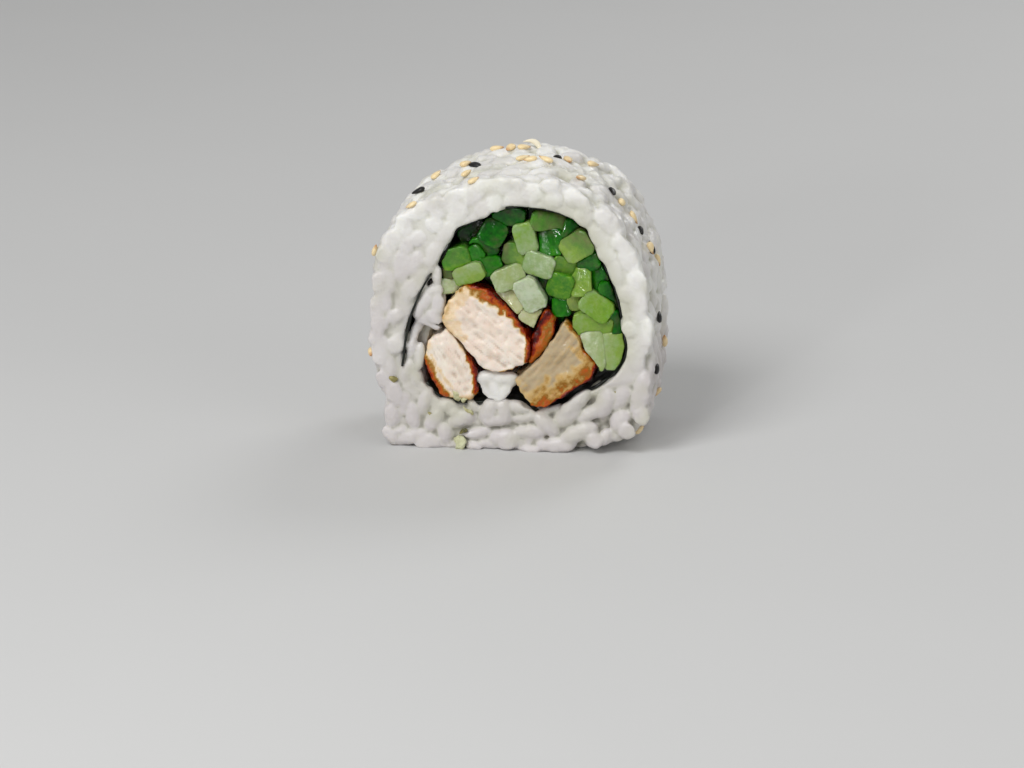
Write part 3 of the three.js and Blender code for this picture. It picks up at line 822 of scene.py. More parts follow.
def outer_places(heap, spacing):
    """Where grains lie in the outside of the roll, and the way out of it at each of them."""
    where = heap.random.uniform(0, len(OUTLINE), OUTER_TRIALS)
    y = heap.random.uniform(-CUT, CUT, OUTER_TRIALS)
    low = OUTLINE[where.astype(int), 1] < 2.5 * MM
    y = np.where(low, 0.9 * y, y)  # under the cut edge the grains lie as the face's own do
    kept = thinned(np.column_stack([where * OUTLINE_GAP, y]), np.full(OUTER_TRIALS, spacing))
    where, y = where[kept], y[kept]
    before = where.astype(int)
    after = (before + 1) % len(OUTLINE)
    share = (where % 1)[:, None]
    sides = outward(OUTLINE)
    out = unit(sides[before] * (1 - share) + sides[after] * share)
    return OUTLINE[before] * (1 - share) + OUTLINE[after] * share, y, out


def add_outer_grains(heap, depth, spacing):
    """Grains in the outside of the roll, lying any way in its surface."""
    random = heap.random
    flat, y, out = outer_places(heap, spacing)
    number = len(flat)
    sunk = flat - out * (depth + random.uniform(-0.4, 0.45, number) * MM)[:, None]
    heading = random.uniform(0, math.pi, number)
    out = in_space(out, 0.0)
    round_it = np.column_stack([-out[:, 2], np.zeros(number), out[:, 0]])
    tilt = random.normal(0, 0.08, number)
    axes = np.cos(heading)[:, None] * round_it + tilt[:, None] * out
    axes[:, 1] += np.sin(heading)
    heap.add_grains(in_space(sunk, y), axes, out)


def prism(loops, recess):
    """A closed bar, or ring of two loops, that ends at each cut face less a recess at each point."""
    flat = np.vstack(loops)
    number = len(flat)
    reach = CUT - np.broadcast_to(recess, number)
    points = np.vstack([in_space(flat, y) for y in (-reach, reach)])
    caps = tessellate_polygon([[Vector((*p, 0)) for p in loop] for loop in loops])
    faces = [*caps, *[(a + number, c + number, b + number) for a, b, c in caps]]
    first = 0
    for loop in loops:
        last = first + len(loop)
        for i in range(first, last):
            j = first + (i + 1 - first) % len(loop)
            faces.append((i, j, j + number))
            faces.append((i, j + number, i + number))
        first = last
    return points, np.array(faces)


def soft_limit(values, limit, give):
    """Values that pass a limit are drawn back to it, but for a share of how far they pass."""
    over = np.maximum(values - limit, 0)
    return values - over * (1 - give)


def pressed(points):
    """Points of grains brought within the cut faces, the mat's press, the table and the sheet."""
    points = points.copy()
    points[:, 1] = soft_limit(points[:, 1], CUT, give=0.1)
    points[:, 1] = -soft_limit(-points[:, 1], CUT, give=0.1)
    flat = points[:, (0, 2)]
    outer, on_outer = distance_to(flat, OUTLINE)
    proud = outer > 0.1 * MM
    flat[proud] = on_outer[proud] + (flat[proud] - on_outer[proud]) * 0.85
    hollow, nearest = distance_to(flat, NORI_LINE)
    tail, _ = distance_to(flat, TAIL_OUTLINE)
    # The sticky rice reaches a little over the sheet's edge, more in some places than in others.
    reach = np.maximum(0.4 + 0.6 * noise_at(points, 2.4 * MM, 2.0), 0.05) * MM
    over = (-hollow > reach) & (tail > 0.9 * MM)
    gap = np.maximum(-hollow[over], 1e-9)
    share = (reach[over] + 0.15 * (gap - reach[over])) / gap
    flat[over] = nearest[over] + (flat[over] - nearest[over]) * share[:, None]
    points[:, 0] = flat[:, 0]
    points[:, 2] = -soft_limit(-flat[:, 1], 0, give=0.1)
    return points


def roughened(piece):
    """The mass with small unevenness of starchy grains, more of it outside than on the cut."""
    points = points_of(piece)
    outside, _ = distance_to(points[:, (0, 2)], OUTLINE)
    free = eased(outside, -1.2 * MM, -0.2 * MM)
    relief = noise_at(points, 1.9 * MM, 3.0) * (0.07 + 0.25 * free)
    relief += noise_at(points, 0.85 * MM, 6.0) * (0.05 + 0.07 * free)
    move_points(piece, points + normals_of(piece) * (relief * MM)[:, None])


def rice_values(piece, centres, draws, grey_and_shade_strength):
    """Numbers for the rice's material: each grain's tone, painted shade where it is sunken, and where it
    is greyer or painted in shade.
    """
    points = points_of(piece)
    tree = KDTree(len(centres))
    for i, centre in enumerate(centres):
        tree.insert(centre, i)
    tree.balance()
    tones = np.random.default_rng(draws).uniform(0, 1, len(centres))
    set_value(piece, "tone", tones[[tree.find(p)[1] for p in points]])
    # How sunken each place is, which the material darkens as painted shade between the grains.
    set_value(piece, "crease", np.clip(hollowness(piece, rounds=8) / (0.22 * MM), -1, 1))
    flat = points[:, (0, 2)]
    x, z = flat.T
    # Greyer towards the left and where grains lie loose, and painted shade towards the bottom, where
    # less light falls.
    left = 0.8 * eased(-x, 2 * MM, 14 * MM) * eased(-z, -40 * MM, -28 * MM)
    low = eased(-z, -20 * MM, -12 * MM)
    set_value(piece, "grey", grey_and_shade_strength * np.maximum(np.maximum(looseness(flat), left), low))
    hollow, _ = distance_to(flat, NORI_LINE)
    upper = 0.3 + 0.7 * eased(x, -2 * MM, 12 * MM) * eased(z, 12 * MM, 18 * MM)
    set_value(piece, "inner", (1 - eased(hollow, 0, 4 * MM)) * (hollow > -0.5 * MM) * upper)


def build_rice(settings):
    """The ring of rice and its tail, as cores with grains lying in all their surfaces."""
    heap = GrainHeap(settings, RICE_DRAWS)
    outer = OUTLINE - outward(OUTLINE) * 1.0 * MM
    inner = NORI_LINE - outward(NORI_LINE, closed=False) * 0.3 * MM
    loose = looseness(np.vstack([outer, inner]))
    recess = settings.pressed_recess * (1 - loose) + settings.loose_recess * loose
    heap.add_mesh(*prism([outer, inner], recess))
    heap.add_mesh(*prism([TAIL_OUTLINE], settings.loose_recess + 0.8 * MM))
    for side in (-1, 1):
        add_face_grains(heap, side, depth=0.0, spacing_factor=1.0, loose_only=False)
        add_face_grains(heap, side, SECOND_DEPTH, SECOND_SPACING, loose_only=True)
        add_single_grains(heap, side)
    add_outer_grains(heap, OUTER_DEPTH, settings.outer_spacing)
    return heap.as_piece("rice_mass", TONE_DRAWS, kept=RICE_KEPT, shape=pressed)


def build_lump(settings):
    """The small clump of rice between the pieces of chicken."""
    heap = GrainHeap(settings, LUMP_DRAWS)
    low, high = (np.array(corner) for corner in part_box("rice_lump"))
    middle = (low + high) / 2
    shares, heading, sizes, depth = read_rows(LUMP_GRAINS, SINGLE_THICKNESS)
    flat = middle[[0, 2]] + shares * (high - low)[[0, 2]]
    places = in_space(flat, low[1] + depth + sizes[:, 1] / 2 - 0.1 * MM)
    axes = in_space(np.column_stack([np.cos(heading), np.sin(heading)]), 0.12)
    heap.add_grains(places, axes, facing(-1, len(places)), sizes)
    mesh = frame["nodes"]["rice_lump"].data
    corners = np.array([v.co for v in mesh.vertices])
    core = middle + (0, 0.12 * MM, 0) + (corners - middle) * (0.95, 0.98, 0.95)
    mesh.calc_loop_triangles()
    heap.add_mesh(core, np.array([t.vertices[:] for t in mesh.loop_triangles]))
    return heap.as_piece("rice_clump", LUMP_TONE_DRAWS, grey_and_shade_strength=0.2)


# ---- sesame and husk


def outline_index(share):
    """The point of the outline at a share of the way round from the flat underside's right end."""
    flat_part = np.linalg.norm(on_face([OUTSIDE[0]]) - on_face([OUTSIDE[-1]]))
    round_length = len(OUTLINE) * OUTLINE_GAP - flat_part
    return int(round(share * round_length / OUTLINE_GAP)) % len(OUTLINE)


def highest_hit(surface, index, along, taken):
    """The most outward place of the rice near a place on the roll, its normal and way out."""
    sides = outward(OUTLINE)
    hits = []
    for around in (-1, 0, 1):
        i = (index + around) % len(OUTLINE)
        out = Vector((sides[i][0], 0, sides[i][1]))
        for shift in (-0.5, 0.0, 0.5):
            foot = Vector((OUTLINE[i][0], (along + shift) * MM, OUTLINE[i][1]))
            hit, normal, _, _ = surface.ray_cast(foot + out * 4 * MM, -out)
            if hit is not None:
                crowded = any((hit - place).length < SEED_CLEARANCE for place in taken)
                hits.append(((hit - foot).dot(out) - 2 * MM * crowded, hit, normal, out))
    if not hits:
        raise RuntimeError("A seed has no rice under it")
    return max(hits, key=lambda found: found[0])[1:]


def seed_places(pairs, surface, settings, random):
    """Where seeds lie on the rice and how they are turned."""
    places, frames = [], []
    for share, along in pairs:
        hit, normal, out = highest_hit(surface, outline_index(share), along, places)
        up = (normal + out).normalized()
        heading = random.uniform(0, 2 * math.pi)
        side = up.orthogonal().normalized()
        axis = side * math.cos(heading) + up.cross(side) * math.sin(heading)
        places.append(hit + up * settings.seed_thickness * SEED_RAISED)
        frames.append(frames_from(np.array([axis]), np.array([up]))[0])
    return np.array(places), np.array(frames)


def faces_viewer(share):
    """Whether the outside of the roll at this share of the way round can be seen at all."""
    x, z = outward(OUTLINE)[outline_index(share)]
    return 0.13 * x + 0.28 * z > -0.08


def other_pairs(number, taken, random):
    """Places for seeds on the side that is turned away, clear of the others and of its outline."""
    chosen = []
    while len(chosen) < number:
        share = random.uniform(*HIDDEN_SHARES)
        along = random.uniform(*HIDDEN_RUN)
        if faces_viewer(share):
            continue
        gaps = [math.hypot((share - s) * WAY_ROUND, along - a) for s, a in [*taken, *chosen]]
        if min(gaps) > HIDDEN_GAP:
            chosen.append((share, along))
    return chosen


def seed_piece(name, sizes, places, frames, bends=0.0, tones=0.0):
    """Seeds as one piece, with how near each point is to the tip, and each seed's tone."""
    form = seed_form()
    number = len(places)
    piece = new_piece(name, *placed(form, sizes, places, frames, bends))
    set_value(piece, "tip", np.tile(form[0][:, 0] + 0.5, number))
    set_value(piece, "tone", np.repeat(np.broadcast_to(tones, number), len(form[0])))
    return piece


def build_seeds(name, pairs, settings, surface, draws):
    """Seeds of one kind, each a little unlike the others."""
    random = np.random.default_rng(draws)
    places, frames = seed_places(pairs, surface, settings, random)
    number = len(places)
    sizes = np.column_stack([
        settings.seed_length * random.uniform(0.85, 1.1, number),
        settings.seed_width * random.uniform(0.85, 1.1, number),
        settings.seed_thickness * random.uniform(0.85, 1.15, number),
    ])
    return seed_piece(name, sizes, places, frames, tones=random.uniform(0, 1, number))


def build_husk():
    """A curled husk that stands up from the top of the roll."""
    size, place = np.array([[HUSK_SIZE], [HUSK_PLACE]]) * MM
    frames = frames_from(*np.array([[axis] for axis in HUSK_AXES]))
    return seed_piece("sesame_husk", size, place, frames, HUSK_CURL * MM)


# ---- nori


def sheet_faces(rows, number):
    """Quads round a sheet given as rows of points on its one face and then on its other."""
    front, back = np.arange(2 * rows * number).reshape(2, rows, number)
    strips = (
        (front[:-1, :-1], front[:-1, 1:], front[1:, 1:], front[1:, :-1]),
        (back[:-1, :-1], back[1:, :-1], back[1:, 1:], back[:-1, 1:]),
        (front[0, :-1], back[0, :-1], back[0, 1:], front[0, 1:]),
        (front[-1, :-1], front[-1, 1:], back[-1, 1:], back[-1, :-1]),
        (front[:-1, 0], front[1:, 0], back[1:, 0], back[:-1, 0]),
        (front[:-1, -1], back[:-1, -1], back[1:, -1], front[1:, -1]),
    )
    return np.vstack([np.stack(corners, axis=-1).reshape(-1, 4) for corners in strips])


def build_nori(settings):
    """The moist sheet, a little wavy, its edges uneven behind the cut faces."""
    line = smooth_curve(on_face(NORI_PATH), NORI_STEP)
    sides = outward(line, closed=False)
    along = np.arange(len(line)) * NORI_STEP
    wave = np.array([noise.noise(Vector((s / (2.2 * MM), 0.3, 0))) for s in along])
    # In the slit behind the flap its edge shows as a thin dark line; elsewhere it stands back.
    in_slit = 1 - eased(along, SLIT_LENGTH - 1.5 * MM, SLIT_LENGTH)
    recess = settings.edge_recess * (1 + 0.6 * wave) * (1 - in_slit) - 0.12 * MM * in_slit
    layers = []
    for face in (1, -1):
        for share in np.linspace(-1, 1, NORI_ROWS):
            y = share * (CUT - recess)
            ripple = noise_at(np.column_stack([along, y, np.zeros(len(line))]), 3.0 * MM, 5.0)
            shift = face * settings.thickness / 2 + ripple * 0.12 * MM
            layers.append(in_space(line + sides * shift[:, None], y))
    return new_piece("nori_sheet", np.vstack(layers), sheet_faces(NORI_ROWS, len(line)))


# ---- cucumber


def build_scraps():
    """Lumpy scraps of cucumber that stick to the rice of the cut face."""
    shares, heading, sizes, depth = read_rows(SCRAPS, SCRAP_THICKNESS)
    places = in_space(on_face(shares), depth - CUT + 0.15 * sizes[:, 1])
    axes = in_space(np.column_stack([np.cos(heading), np.sin(heading)]), 0.0)
    form = grain_form()
    points, faces = placed(form, sizes, places, frames_from(axes, facing(-1, len(places))))
    lumps = np.column_stack([noise_at(points, 0.8 * MM, k) for k in (4.0, 8.0, 12.0)])
    piece = new_piece("cucumber_scraps", points + 0.45 * MM * lumps, faces)
    set_value(piece, "dark", np.repeat([row[6] for row in SCRAPS], len(form[0])))
    return piece


def build_stick(number, settings):
    """A cucumber stick with an uneven, sloping cut end."""
    node = f"cucumber_{number:02d}"
    random = np.random.default_rng(STICK_DRAWS + number)
    piece = copy_of_node(node, f"stick_{number:02d}")
    fused(piece, settings.fineness, rounds=1, factor=0.3, kept=STICK_KEPT)
    points = points_of(piece)
    low, high = points.min(axis=0), points.max(axis=0)
    middle = (low + high) / 2
    fuller = 1 + 2 * settings.fullness / (high - low) * (1, 0, 1)
    points = middle + (points - middle) * fuller
    slope = random.uniform(-1, 1, 2) * settings.end_slope
    reach = (points[:, 0] - middle[0]) * slope[0] + (points[:, 2] - middle[2]) * slope[1]
    near_front = 1 - eased(points[:, 1], low[1], low[1] + END_DEPTH)
    points[:, 1] += near_front * (reach + random.uniform(0, 0.7) * MM)
    lumps = noise_at(points, 2.2 * MM, number) + 0.4 * noise_at(points, 0.9 * MM, number + 7)
    points += normals_of(piece) * (lumps * settings.unevenness)[:, None]
    move_points(piece, points)
    colour_stick(piece, points, number, low, high)
    return piece, node


def colour_stick(piece, points, number, low, high):
    """Numbers for the cucumber's material: how green and how yellow each place is, with painted shade
    away from the cut end.
    """
    greens = STICK_GREENS[number - 1] if number <= len(STICK_GREENS) else SHADED_STICK
    start, end, direction, yellow = greens
    angle = math.radians(direction)
    from_middle = points - (low + high) / 2
    across = from_middle[:, 0] * math.cos(angle) + from_middle[:, 2] * math.sin(angle)
    share = eased(across / max(np.abs(across).max(), 0.5 * MM), -0.9, 0.9)
    blotch = noise_at(points, 1.5 * MM, 40 + number) * 0.08
    blotch += fibre_noise(points, angle + 1.4, 0.6 * MM, 60 + number) * 0.09
    # Painted shade: the sides grow darker green away from the cut end, in the gaps between the sticks.
    from_end = np.minimum(points[:, 1] - low[1], high[1] - points[:, 1])
    deeper_shade = 0.3 * eased(from_end, 0.4 * MM, 6 * MM)
    set_value(piece, "green", np.clip(start + (end - start) * share + blotch + deeper_shade, 0, 1))
    set_value(piece, "yellow", np.clip(yellow + 2 * blotch, 0, 1))


# ---- chicken


def browned(points, name):
    """How brown each place of a piece of chicken is, from its distance to the browned edges."""
    brown = np.full(len(points), MEAT_LOOKS[name][0])
    for i, (line, reach, strength) in enumerate(BROWNING[name]):
        line = on_face(line)
        gap, _ = distance_to(points[:, (0, 2)], line, closed=False)
        run = line[-1] - line[0]
        across = math.atan2(run[1], run[0]) + math.pi / 2
        ragged = 0.2 * fibre_noise(points, across, 0.5 * MM, 20 + i)
        ragged += 0.5 * noise_at(points, 1.3 * MM, 30 + i)
        depth = gap / (reach * MM) + ragged
        glaze = (1 - 0.3 * eased(depth, 0, 0.4)) * (1 - eased(depth, 0.45, 1.05))
        brown = np.maximum(brown, strength * glaze)
    return brown


def build_chicken(name, settings):
    """A piece of chicken: an uneven torn cut with fibres, browned at its glazed edges."""
    piece = fused(copy_of_node(name, f"{name}_meat"), settings.fineness, rounds=2)
    points = points_of(piece)
    _, wetness, direction = MEAT_LOOKS[name]
    angle = math.radians(direction)
    offset = sum(map(ord, name)) % 97
    fibres = fibre_noise(points, angle, 0.55 * MM, offset + 9)
    bundles = fibre_noise(points, angle + 0.2, 1.6 * MM, offset + 5)
    crags = noise_at(points, 2.8 * MM, offset) + 0.5 * noise_at(points, 0.9 * MM, offset + 3)
    relief = (crags + 0.5 * bundles) * settings.crag_height + fibres * settings.fibre_height
    move_points(piece, points + normals_of(piece) * relief[:, None])
    set_value(piece, "brown", browned(points, name))
    set_value(piece, "wet", np.full(len(points), wetness))
    set_value(piece, "streak", fibres * 0.6 + bundles * 0.5)
    # How sunken each place is, which the material darkens as painted shade.
    set_value(piece, "crease", np.clip(hollowness(piece, rounds=6) / (0.15 * MM), -1, 1))
    return piece


# ---- materials


class Shader:
    """A short way to write the nodes of a material or group."""

    def __init__(self, tree):
        self.tree = tree

    def feed(self, socket, value):
        """Links a socket to another one, or sets it to a constant."""
        if isinstance(value, bpy.types.NodeSocket):
            self.tree.links.new(value, socket)
        else:
            socket.default_value = value

    def node(self, kind, inputs=None, **options):
        """A new node with its options set, and then its inputs fed by name or number."""
        made = self.tree.nodes.new("ShaderNode" + kind)
        for key, value in options.items():
            setattr(made, key, value)
        for key, value in (inputs or {}).items():
            self.feed(made.inputs[key], value)
        return made

    def math(self, operation, first, second=0.0, clamp=False):
        made = self.node("Math", {0: first, 1: second}, operation=operation, use_clamp=clamp)
        return made.outputs[0]

    def mix(self, factor, first, second):
        inputs = {"Factor": factor, 6: first, 7: second}
        return self.node("Mix", inputs, data_type="RGBA").outputs[2]

    def tinted(self, shade, tint, mask, amount):
        """A colour with another laid over it, as strongly as a mask times an amount."""
        return self.mix(self.math("MULTIPLY", mask, amount), shade, tint)

    def span(self, value, low, high, bottom=0.0, top=1.0):
        """A value's way from low to high, as one from bottom to top."""
        ends = {"From Min": low, "From Max": high, "To Min": bottom, "To Max": top}
        return self.node("MapRange", {"Value": value, **ends}).outputs[0]

    def value_of(self, name):
        """The number that a mesh keeps for each of its points under this name."""
        return self.node("Attribute", attribute_name=name).outputs["Fac"]

    def noise(self, scale, detail=3.0, roughness=0.55):
        place = self.node("TexCoord").outputs["Object"]
        inputs = {"Vector": place, "Scale": scale, "Detail": detail, "Roughness": roughness}
        return self.node("TexNoise", inputs).outputs["Fac"]

    def speckle(self, scale, detail, roughness, amount):
        """Fine noise from an amount less than nothing to the same amount more."""
        inputs = {"Scale": scale, "Detail": detail, "Roughness": roughness, "Amount": amount}
        return self.node("Group", inputs, node_tree=speckle_group()).outputs["Value"]

    def ramp(self, factor, stops):
        """A colour that runs through the stops, which are pairs of a position and a colour."""
        made = self.node("ValToRGB", {0: factor})
        elements = made.color_ramp.elements
        while len(elements) < len(stops):
            elements.new(1.0)
        for element, (position, shade) in zip(elements, stops):
            element.position = position
            element.color = shade
        return made.outputs[0]

    def mottled(self, shade, patch, scale, amount):
        """A colour with soft patches of another."""
        inputs = {"Colour": shade, "Patch colour": patch, "Scale": scale, "Amount": amount}
        return self.node("Group", inputs, node_tree=mottle_group()).outputs["Colour"]


def node_group(name, inputs, outputs, write):
    """The shader group of a name with these sockets, which is written the first time."""
    if name in bpy.data.node_groups:
        return bpy.data.node_groups[name]
    tree = bpy.data.node_groups.new(name, "ShaderNodeTree")
    for label, default in inputs.items():
        kind = "NodeSocketFloat" if isinstance(default, float) else "NodeSocketColor"
        tree.interface.new_socket(label, in_out="INPUT", socket_type=kind).default_value = default
    for label, kind in outputs.items():
        tree.interface.new_socket(label, in_out="OUTPUT", socket_type=kind)
    given, result = tree.nodes.new("NodeGroupInput"), tree.nodes.new("NodeGroupOutput")
    shader = Shader(tree)
    for label, value in write(shader, given.outputs).items():
        shader.feed(result.inputs[label], value)
    return tree


def write_wet_surface(shader, given):
    """Fine relief of a moist surface, and a gloss that breaks up into drier and wetter spots."""
    height = shader.noise(given["Scale"], 4.0)
    inputs = {"Height": height, "Strength": given["Relief"], "Distance": 0.3 * MM}
    patches = shader.span(shader.noise(420.0, 2.0), 0.42, 0.62)
    spread = shader.math("SUBTRACT", given["Dry roughness"], given["Wet roughness"])
    rough = shader.math("ADD", shader.math("MULTIPLY", patches, spread), given["Wet roughness"])
    return {"Normal": shader.node("Bump", inputs).outputs[0], "Roughness": rough}


def wet_surface_group():
    inputs = {"Scale": 1500.0, "Relief": 0.1, "Dry roughness": 0.5, "Wet roughness": 0.2}
    outputs = {"Normal": "NodeSocketVector", "Roughness": "NodeSocketFloat"}
    return node_group("wet surface", inputs, outputs, write_wet_surface)


def write_mottle(shader, given):
    """Two colours that run into each other in soft patches."""
    patches = shader.span(shader.noise(given["Scale"], 3.0), 0.38, 0.68)
    shade = shader.tinted(given["Colour"], given["Patch colour"], patches, given["Amount"])
    return {"Colour": shade}


def mottle_group():
    colours = {"Colour": (1, 1, 1, 1), "Patch colour": (0.5, 0.5, 0.5, 1)}
    inputs = {**colours, "Scale": 500.0, "Amount": 0.5}
    return node_group("mottle", inputs, {"Colour": "NodeSocketColor"}, write_mottle)


def write_speckle(shader, given):
    """Fine noise from an amount less than nothing to the same amount more."""
    fine = shader.noise(given["Scale"], given["Detail"], given["Roughness"])
    lowest = shader.math("MULTIPLY", given["Amount"], -1.0)
    return {"Value": shader.span(fine, 0.3, 0.7, lowest, given["Amount"])}


def speckle_group():
    inputs = {"Scale": 1300.0, "Detail": 5.0, "Roughness": 0.65, "Amount": 0.2}
    return node_group("speckle", inputs, {"Value": "NodeSocketFloat"}, write_speckle)


def new_material(name):
    """An empty material, the writer of its nodes and the inputs of its shader."""
    material = bpy.data.materials.new(name)
    material.use_nodes = True
    tree = material.node_tree
    return material, Shader(tree), tree.nodes["Principled BSDF"].inputs


def set_moist(shader, surface, shade, scale, relief, dry, wet):
    """Gives a material its colour, and the relief and gloss of something moist."""
    inputs = {"Scale": scale, "Relief": relief, "Dry roughness": dry, "Wet roughness": wet}
    made = shader.node("Group", inputs, node_tree=wet_surface_group()).outputs
    shader.feed(surface["Base Color"], shade)
    shader.feed(surface["Normal"], made["Normal"])
    shader.feed(surface["Roughness"], made["Roughness"])


def set_translucent(surface, weight, radius, scale):
    surface["Subsurface Weight"].default_value = weight
    surface["Subsurface Radius"].default_value = radius
    surface["Subsurface Scale"].default_value = scale


def rice_material(settings):
    material, shader, surface = new_material("sticky rice")
    crease, grey = shader.value_of("crease"), shader.value_of("grey")
    shade = shader.mottled(settings.bright, settings.grey, scale=230.0, amount=0.4)
    layers = (
        (shader.value_of("tone"), 0.4, settings.grey),
        # Greyer towards the left and where grains lie loose, and painted shade towards the bottom.
        (grey, 0.85, settings.grey),
        (shader.value_of("inner"), 0.75, settings.shade),
        (shader.span(shader.noise(130.0, 2.0), 0.5, 0.7), 0.6, settings.shade),
        # Painted shade: darker between the grains, and darker still in the gaps between loose grains.
        (shader.span(crease, -0.1, 0.8), 0.7, settings.shade),
        (shader.span(crease, 0.3, 1.0, 0.0, 0.85), grey, settings.gap),
    )
    for mask, amount, tint in layers:
        shade = shader.tinted(shade, tint, mask, amount)
    set_moist(shader, surface, shade, scale=1300.0, relief=0.4, dry=0.55, wet=0.28)
    surface["Specular IOR Level"].default_value = 0.4
    set_translucent(surface, weight=0.4, radius=(1.0, 0.95, 0.8), scale=1.0 * MM)
    return material


def seed_material(name, coat, tip):
    material, shader, surface = new_material(name)
    shade = shader.mottled(coat, tip, scale=1300.0, amount=0.14)
    shade = shader.tinted(shade, tip, shader.value_of("tone"), 0.12)
    shade = shader.tinted(shade, tip, shader.span(shader.value_of("tip"), 0.72, 1.0), 0.85)
    set_moist(shader, surface, shade, scale=3000.0, relief=0.12, dry=0.5, wet=0.28)
    return material


def scrap_material(settings):
    material, shader, surface = new_material("cucumber scraps")
    blotch = shader.speckle(900.0, detail=3.0, roughness=0.55, amount=0.16)
    dark = shader.math("ADD", shader.value_of("dark"), blotch, clamp=True)
    shade = shader.ramp(dark, [
        (0.0, settings.pale_scrap), (0.5, settings.olive_scrap), (1.0, settings.dark_scrap),
    ])
    set_moist(shader, surface, shade, scale=1500.0, relief=0.5, dry=0.4, wet=0.2)
    return material


def nori_material(settings):
    material, shader, surface = new_material("moist nori")
    shade = shader.mottled(settings.sheet, settings.sheen, scale=700.0, amount=0.7)
    set_moist(shader, surface, shade, scale=2200.0, relief=0.5, dry=0.6, wet=0.35)
    return material


def cucumber_material(settings):
    material, shader, surface = new_material("cucumber")
    speckle = shader.speckle(1400.0, detail=5.0, roughness=0.65, amount=0.09)
    green = shader.math("ADD", shader.value_of("green"), speckle, clamp=True)
    # The last stop of the ramp is painted shade of the peel.
    fresh = shader.ramp(green, [
        (0.0, settings.heart), (0.2, settings.pale), (0.45, settings.flesh),
        (0.64, settings.under_peel), (0.82, settings.peel), (1.0, settings.shaded_peel),
    ])
    shade = shader.tinted(fresh, settings.yellow, shader.value_of("yellow"), 0.6)
    set_moist(shader, surface, shade, scale=800.0, relief=0.35, dry=0.26, wet=0.07)
    surface["Specular IOR Level"].default_value = 0.32
    set_translucent(surface, weight=0.25, radius=(0.4, 1.0, 0.2), scale=0.9 * MM)
    return material


def meat_colour(shader, settings):
    """The colour of the meat: moist, rosy and golden strands, with darker golden painted shade where it
    is sunken.
    """
    rosy = shader.mottled(settings.meat, settings.pink, scale=300.0, amount=0.4)
    meat = shader.mix(shader.value_of("wet"), rosy, settings.wet_meat)
    strands = shader.span(shader.value_of("streak"), 0.1, 0.7, 0.0, 0.3)
    shaded_hollows = shader.span(shader.value_of("crease"), 0.1, 0.9, 0.0, 0.35)
    return shader.mix(shaded_hollows, shader.mix(strands, meat, settings.golden), settings.golden)


def browning(shader):
    """How brown the meat is in all, with blotches and streaks where it is brown."""
    brown = shader.value_of("brown")
    streaks = shader.span(shader.value_of("streak"), -0.6, 0.6, -0.22, 0.22)
    uneven = shader.math("ADD", shader.speckle(1300.0, detail=5.0, roughness=0.65, amount=0.25), streaks)
    return shader.math("ADD", brown, shader.math("MULTIPLY", uneven, brown), clamp=True)


def chicken_material(settings):
    material, shader, surface = new_material("teriyaki chicken")
    grown = browning(shader)
    glaze = shader.ramp(grown, [
        (0.0, settings.meat), (0.12, settings.toasted), (0.34, settings.golden),
        (0.44, settings.orange), (0.58, settings.brown), (0.76, settings.dark),
        (0.95, settings.burnt),
    ])
    shade = shader.mix(shader.span(grown, 0.03, 0.26), meat_colour(shader, settings), glaze)
    glazed = shader.math("MULTIPLY", shader.span(shader.value_of("brown"), 0.08, 0.35), 0.5)
    relief = shader.math("ADD", glazed, 0.45)
    set_moist(shader, surface, shade, scale=900.0, relief=relief, dry=0.28, wet=0.13)
    surface["Specular IOR Level"].default_value = 0.3
    set_translucent(surface, weight=0.15, radius=(1.0, 0.5, 0.3), scale=0.7 * MM)
    return material


def floor_material(settings):
    material, shader, surface = new_material("pale floor")
    darker = tuple(0.97 * c for c in settings.floor)
    shader.feed(surface["Base Color"], shader.mottled(settings.floor, darker, scale=9.0, amount=0.5))
    surface["Roughness"].default_value = 0.75
    return material


# ---- stage


def aimed(obj, target):
    """Turns a camera or a light to a place."""
    obj.rotation_euler = (Vector(target) - obj.location).to_track_quat("-Z", "Y").to_euler()


def add_camera(settings):
    """The camera stands where the photographer's stood."""
    azimuth, elevation = settings.azimuth, settings.elevation
    back = Vector((
        math.sin(azimuth) * math.cos(elevation),
        -math.cos(azimuth) * math.cos(elevation),
        math.sin(elevation),
    ))
    right = Vector((math.cos(azimuth), math.sin(azimuth), 0))
    target = right * settings.aim_right + back.cross(right) * settings.aim_up
    data = bpy.data.cameras.new("camera")
    data.lens = settings.lens
    data.sensor_width = 36
    data.clip_start = 0.05
    data.clip_end = 20
    camera = linked(bpy.data.objects.new("camera", data))
    camera.location = target + back * settings.distance
    aimed(camera, target)
    bpy.context.scene.camera = camera


def add_light(name, place, size, watts):
    data = bpy.data.lights.new(name, "AREA")
    data.shape = "DISK"
    data.size = size
    data.energy = watts
    light = linked(bpy.data.objects.new(name, data))
    light.location = place
    aimed(light, LIT_PLACE)


def add_surround(strength):
    """Even pale light from all sides."""
    world = bpy.data.worlds.new("pale room")
    world.use_nodes = True
    background = world.node_tree.nodes["Background"].inputs
    background["Color"].default_value = (1, 1, 1, 1)
    background["Strength"].default_value = strength
    bpy.context.scene.world = world


def add_floor(settings):
    corners = np.array([(-1, -1, 0), (1, -1, 0), (1, 1, 0), (-1, 1, 0)]) * FLOOR_HALF
    floor = new_piece("floor", corners, [(0, 1, 2, 3)])
    floor.data.materials.append(floor_material(settings))


# ---- operators


class ROLL_OT_stage(bpy.types.Operator):
    """Set up the floor, the lights and the camera"""

    bl_idname = "roll.stage"
    bl_label = "Stage"

    def execute(self, context):
        settings = context.scene.roll_stage
        add_floor(settings)
        add_camera(settings)
        add_surround(settings.surround)
        for name, (place, size) in LIGHTS.items():
            add_light(name, place, size, getattr(settings, f"{name}_watts"))
        context.scene.view_settings.view_transform = "Standard"
        return {"FINISHED"}


